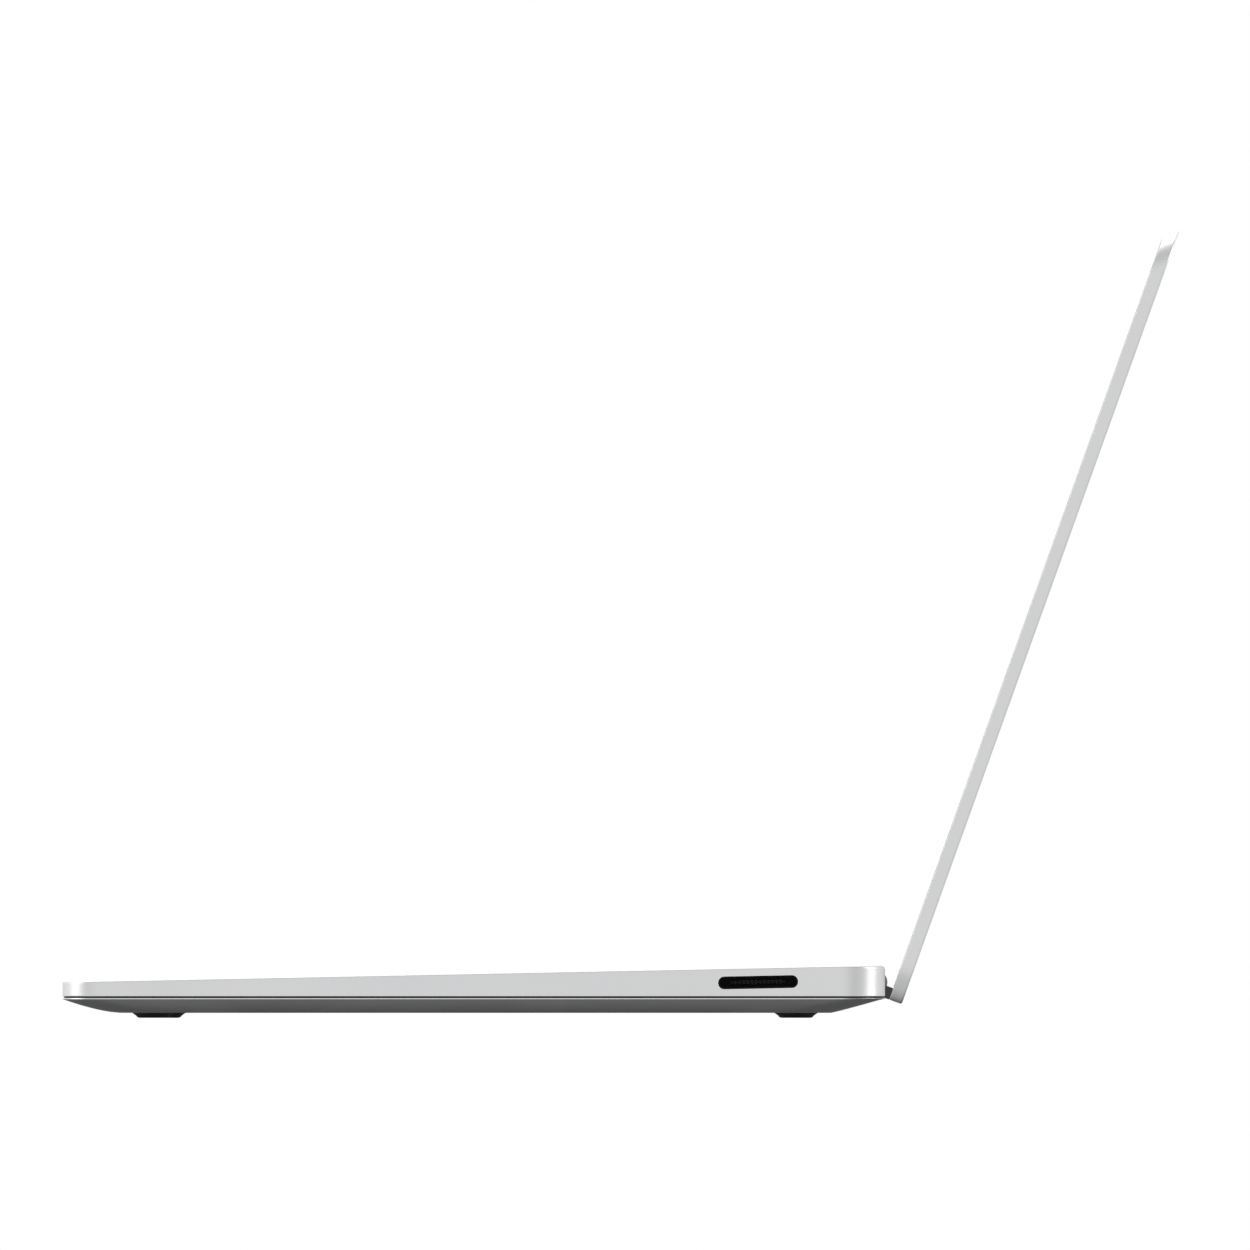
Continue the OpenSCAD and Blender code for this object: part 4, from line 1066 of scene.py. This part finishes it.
keyChoices = {
    "corner": 1.3 * mm, "edge": 0.3 * mm, "dish": 0.09 * mm, "dishRun": 2.6 * mm, "dishShare": 0.24,
    "letter": 4.1 * mm, "word": 2.15 * mm, "small": 2.0 * mm, "raise": 0.012 * mm,
    "lowerSign": (0.86, -2.2 * mm), "upperSign": (0.8, 2.6 * mm),
    "wide": 24 * mm, "margin": 3.2 * mm, "arrow": 1.0 * mm, "arrowTurns": (180, 270, 0, 90),
}
keyLegends = {
    "keys_function": ["esc"] + ["F%d" % n for n in range(1, 13)] + ["ins", "del"],
    "keys_number": list("`1234567890-="), "key_backspace": ["back"], "key_tab": ["tab"],
    "keys_upper": list("QWERTYUIOP[]"), "key_backslash": ["\\"], "key_caps": ["caps"],
    "keys_home": list("ASDFGHJKL;'"), "key_enter": ["enter"], "key_shift_left": ["shift"],
    "keys_lower": list("ZXCVBNM,./"), "key_shift_right": ["shift"],
    "keys_modifier": ["ctrl", "fn", "meta", "alt", "alt", "menu"],
}
shiftedSigns = {
    "1": "!", "2": "@", "3": "#", "4": "$", "5": "%", "6": "^", "7": "&", "8": "*", "9": "(", "0": ")",
    "-": "_", "=": "+", "`": "~", "[": "{", "]": "}", "\\": "|", ";": ":", "'": '"', ",": "<", ".": ">",
    "/": "?",
}


def capShape(size, choices):
    # a plate whose round edge runs up to a rim and down again to a flat, sunken middle
    width, depth, height = size
    edge, dish = choices["edge"], choices["dish"]
    run = min(choices["dishRun"], choices["dishShare"] * depth)
    shares = np.array([1.0, 0.72, 0.42, 0.2])
    rows = [(edge + (run - edge) * share, -dish * (1 - (1 - share) ** 2)) for share in shares]
    rows += [(inset, -drop) for inset, drop in quarterTurn(edge, 4)]
    rows += [(0, -height + edge), (edge * 0.6, -height)]
    return closedShape(roundedRows(width, depth, choices["corner"], rows))


def roundedRows(width, depth, corner, rows):
    # one round rectangle for each (inset, height); its corners are never tighter than a third of the
    # first, nor wider than 0.45 of its shorter side
    loops = []
    for inset, height in rows:
        radius = min(max(corner - inset, corner / 3), 0.45 * (min(width, depth) - 2 * inset))
        loop, _ = roundLoop(width - 2 * inset, depth - 2 * inset, radius, 6)
        loops.append(np.column_stack([loop, np.full(len(loop), height)]))
    return np.array(loops)


def legendShape(text, size):
    # a filled flat text, centred, as plain points and faces
    curve = bpy.data.curves.new("legend", "FONT")
    curve.body, curve.size, curve.resolution_u = text, size, 3
    curve.align_x, curve.align_y = "CENTER", "CENTER"
    holder = bpy.data.objects.new("legend", curve)
    bpy.context.scene.collection.objects.link(holder)
    mesh = bpy.data.meshes.new_from_object(holder.evaluated_get(bpy.context.evaluated_depsgraph_get()))
    points = np.empty(len(mesh.vertices) * 3)
    mesh.vertices.foreach_get("co", points)
    shape = {"points": points.reshape(-1, 3), "faces": [list(face.vertices) for face in mesh.polygons]}
    bpy.data.objects.remove(holder)
    bpy.data.curves.remove(curve)
    bpy.data.meshes.remove(mesh)
    return shape


def arrowShape(angle, size):
    # a small triangle that points along the angle
    turn = np.radians(angle) + np.array([0, 2 * math.pi / 3, 4 * math.pi / 3])
    points = np.stack([size * np.cos(turn), size * np.sin(turn), np.zeros(3)], 1)
    return {"points": points, "faces": [[0, 1, 2]]}


def keyMarks(name, number, size, choices):
    # the legends of one key, about its middle
    if name == "keys_arrow":
        return [arrowShape(choices["arrowTurns"][number], choices["arrow"])]
    if name == "key_space":
        return []
    text = keyLegends[name][number]
    if text in shiftedSigns:
        signs = ((text, choices["lowerSign"]), (shiftedSigns[text], choices["upperSign"]))
        return [shifted(legendShape(sign, choices["letter"] * share), 0, y) for sign, (share, y) in signs]
    if len(text) == 1:
        return [legendShape(text, choices["letter"])]
    if name == "keys_function":
        return [legendShape(text, choices["small"])]
    shape = legendShape(text, choices["word"])
    if size[0] > choices["wide"]:
        side = 1 if name in ("key_backspace", "key_enter", "key_shift_right") else -1
        reach = np.abs(shape["points"][:, 0]).max()
        return [shifted(shape, side * (size[0] / 2 - choices["margin"] - reach), 0)]
    return [shape]


def makeKeys(choices):
    for name, boxes in keyBoxes.items():
        caps, marks = [], []
        for number, (low, high) in enumerate(boxes):
            size, middle = high - low, (low + high) / 2
            legendHeight = high[2] - choices["dish"] + choices["raise"]
            caps.append(shifted(capShape(size, choices), middle[0], middle[1], high[2]))
            for mark in keyMarks(name, number, size, choices):
                marks.append(shifted(mark, middle[0], middle[1], legendHeight))
        finishPiece(placed(joined(caps), fromDeck), name + "_caps", name, keyPlastic, [name])
        if marks:
            flat = placed(joined(marks), fromDeck)
            finishPiece(flat, name + "_legends", name, keyLegend, outward=False)


makeKeys(keyChoices)
print("keys made:", sum(len(boxes) for boxes in keyBoxes.values()))


# touchpad

padChoices = {"corner": 2.0 * mm, "edge": 0.22 * mm, "support": 0.3 * mm}


def makeTouchpad(choices):
    low, high = deckBox("touchpad_glass")
    size, middle = high - low, (low + high) / 2
    rows = [(choices["edge"] + choices["support"], 0)]
    rows += [(inset, -drop) for inset, drop in quarterTurn(choices["edge"], 4)] + [(0, -size[2])]
    shape = closedShape(roundedRows(size[0], size[1], choices["corner"], rows))
    shape = placed(shifted(shape, middle[0], middle[1], high[2]), fromDeck)
    return finishPiece(shape, "touchpad_plate", "touchpad", padGlass, ["touchpad_glass"])


makeTouchpad(padChoices)
print("touchpad made")


# hinge spine: a dark moulded bar in three lengths, parted at the hinges

spineChoices = {"half": 118 * mm, "opening": 9.8 * mm, "corner": 0.3 * mm, "edge": 0.25 * mm}
endShare = 0.08  # of a bar's thinner side: how far its end's flat lies inside the round edge


def barShape(low, high, corner, edge):
    # a bar along X: the round section in Y and Z is carried from end to end, its ends rounded over
    size, middle = high - low, (low + high) / 2
    ends, flat = quarterTurn(edge, 4), edge + endShare * min(size[1], size[2])
    rows = [(flat, low[0])] + [(inset, low[0] + drop) for inset, drop in ends]
    rows += [(inset, high[0] - drop) for inset, drop in ends[::-1]] + [(flat, high[0])]
    grid = roundedRows(size[1], size[2], corner, rows)[..., [2, 0, 1]]
    grid[..., 1:] += middle[1:]
    return closedShape(grid, (1, 2))


def makeSpine(choices):
    low, high = lidBox("hinge_spine")
    low[2], high[2] = low[2] - lidFace, high[2] - lidFace
    near, far = hingeAt - choices["opening"], hingeAt + choices["opening"]
    bars = []
    for start, end in ((-choices["half"], -far), (-near, near), (far, choices["half"])):
        first, last = np.array([start, low[1], low[2]]), np.array([end, high[1], high[2]])
        bars.append(barShape(first, last, choices["corner"], choices["edge"]))
    bars = placed(joined(bars), fromLid)
    return finishPiece(bars, "hinge_spine_bar", "lid", darkSpine, ["hinge_spine"])


lidPieces.append(makeSpine(spineChoices))
lidPieces += [frame["nodes"][name] for name in ("display_panel", "display_board", "camera_module")]
for piece in lidPieces:
    piece.visible_glossy = False  # so the rear corners of the case show the room, not the dark screen
print("hinge spine made")


# sockets: metal mouths with a dark tongue and gilt contacts

# in millimetres; sides are the faces of the tongue that carry contacts
smallSocket = {
    "mouth": (8.4, 2.7, 1.35), "depth": 6.0, "tongue": (6.7, 0.7), "start": 0.8, "lift": 0, "contacts": 12,
    "pitch": 0.5, "pad": 0.26, "sides": (-1, 1), "shell": steel, "metal": goldContact,
}
portChoices = {
    "charge_port": {
        "mouth": (20.6, 2.8, 1.4), "depth": 5.0, "tongue": (15.0, 0.8), "start": 2.2, "lift": 0,
        "contacts": 12, "pitch": 1.1, "pad": 0.4, "sides": (-1, 1), "shell": socketBlack, "metal": steel,
    },
    "usb_c_front": smallSocket,
    "usb_c_rear": smallSocket,
    "usb_a_port": {
        "mouth": (12.6, 4.9, 0.3), "depth": 6.0, "tongue": (11.2, 1.8), "start": 0.8, "lift": 1.2,
        "contacts": 4, "pitch": 2.4, "pad": 1.1, "sides": (-1,), "shell": steel, "metal": goldContact,
    },
}
socketChoices = {
    "corner": 0.3 * mm, "steps": 9, "rimSink": 0.02 * mm, "mouthLip": 0.1 * mm,
    "flare": 1.02, "backShare": 0.5,
    "tongueEdge": 0.12 * mm, "tongueCorner": 0.3, "tongueLap": 0.2 * mm,
    "padThickness": 0.06 * mm, "padEdge": 0.02 * mm, "padBack": 0.5 * mm, "padFront": 0.25 * mm,
    "padRise": 0.01 * mm,
}


def slabAlongX(width, height, radius, start, end, edge):
    # a flat strip that points along X, its section a round rectangle
    low = np.array([start, -width / 2, -height / 2])
    return barShape(low, np.array([end, width / 2, height / 2]), radius, edge)


def makePort(name, choices, common):
    # each socket is drawn as if on the right side, then mirrored for the left
    low, high = deckBox(name)
    sign = 1 if low[0] > 0 else -1
    inner, front = min(abs(low[0]), abs(high[0])), max(abs(low[0]), abs(high[0]))
    middle = (low + high) / 2

    def place(points):
        points = points * np.array([sign, 1, 1]) + np.array([0, middle[1], middle[2]])
        return fromDeck(points)

    width, height, radius = (value * mm for value in choices["mouth"])
    back, rim = front - choices["depth"] * mm, front - common["rimSink"]
    mouth, size = newShape(), high - low
    outer, _ = roundLoop(size[1], size[2], common["corner"], common["steps"])
    ring, _ = roundLoop(width, height, radius, common["steps"])
    rows = [
        (outer, inner), (outer, rim), (ring * common["flare"], rim), (ring, front - common["mouthLip"]),
        (ring, back), (ring * common["backShare"], back),
    ]
    index = addGrid(mouth, np.array([np.column_stack([np.full(len(loop), x), loop]) for loop, x in rows]))
    addFill(mouth, [index[-1]], [mouth["points"][index[-1]][:, 1:]])
    finishPiece(placed(mouth, place), name + "_mouth", "base", choices["shell"], [name])

    across, thick = (value * mm for value in choices["tongue"])
    lift, start = choices["lift"] * mm, front - choices["start"] * mm
    corner, tongueStart = thick * common["tongueCorner"], back - common["tongueLap"]
    tongue = slabAlongX(across, thick, corner, tongueStart, start, common["tongueEdge"])
    tongue = placed(shifted(tongue, 0, 0, lift), place)
    finishPiece(tongue, name + "_tongue", "base", socketBlack)

    pads, edge = [], common["padEdge"]
    padStart, padEnd = back + common["padBack"], start - common["padFront"]
    for number in range(choices["contacts"]):
        y = (number - (choices["contacts"] - 1) / 2) * choices["pitch"] * mm
        for side in choices["sides"]:
            pad = slabAlongX(choices["pad"] * mm, common["padThickness"], edge, padStart, padEnd, edge)
            pads.append(shifted(pad, 0, y, lift + side * (thick / 2 + common["padRise"])))
    finishPiece(placed(joined(pads), place), name + "_contacts", "base", choices["metal"])


for portName, values in portChoices.items():
    makePort(portName, values, socketChoices)
print("sockets made")


# camera lens and its light behind the top border

# each disc is its radius, the share of it that is flat, its rim's and its flat's height, and its steps round
lensChoices = {
    "ring": (1.9 * mm, 0.8, 0.002 * mm, 0.008 * mm, 48),
    "pupil": (0.95 * mm, 0.7, 0.01 * mm, 0.014 * mm, 32),
    "light": (0.45 * mm, 0, 0.012 * mm, 0.014 * mm, 24), "lightAt": 7.5 * mm,
}


def lensDisc(radius, flatShare, rimHeight, height, steps):
    # a disc whose face rises from its rim to a flat middle or, with no flat share, to a point
    flat = [(radius * flatShare, height)] if flatShare else []
    return latheShape([(radius, rimHeight)] + flat + [(0, height)], steps)


def makeLens(choices):
    low, high = lidBox("camera_module")
    middle = (low + high) / 2
    ring = placed(shifted(lensDisc(*choices["ring"]), 0, middle[1]), fromLid)
    finishPiece(ring, "camera_ring", "lid", lensDark, merge=True, outward=False)
    parts = [
        shifted(lensDisc(*choices["pupil"]), 0, middle[1]),
        shifted(lensDisc(*choices["light"]), choices["lightAt"], middle[1]),
    ]
    parts = placed(joined(parts), fromLid)
    finishPiece(parts, "camera_pupil", "lid", lensBlue, merge=True, outward=False)


makeLens(lensChoices)
print("camera lens made")
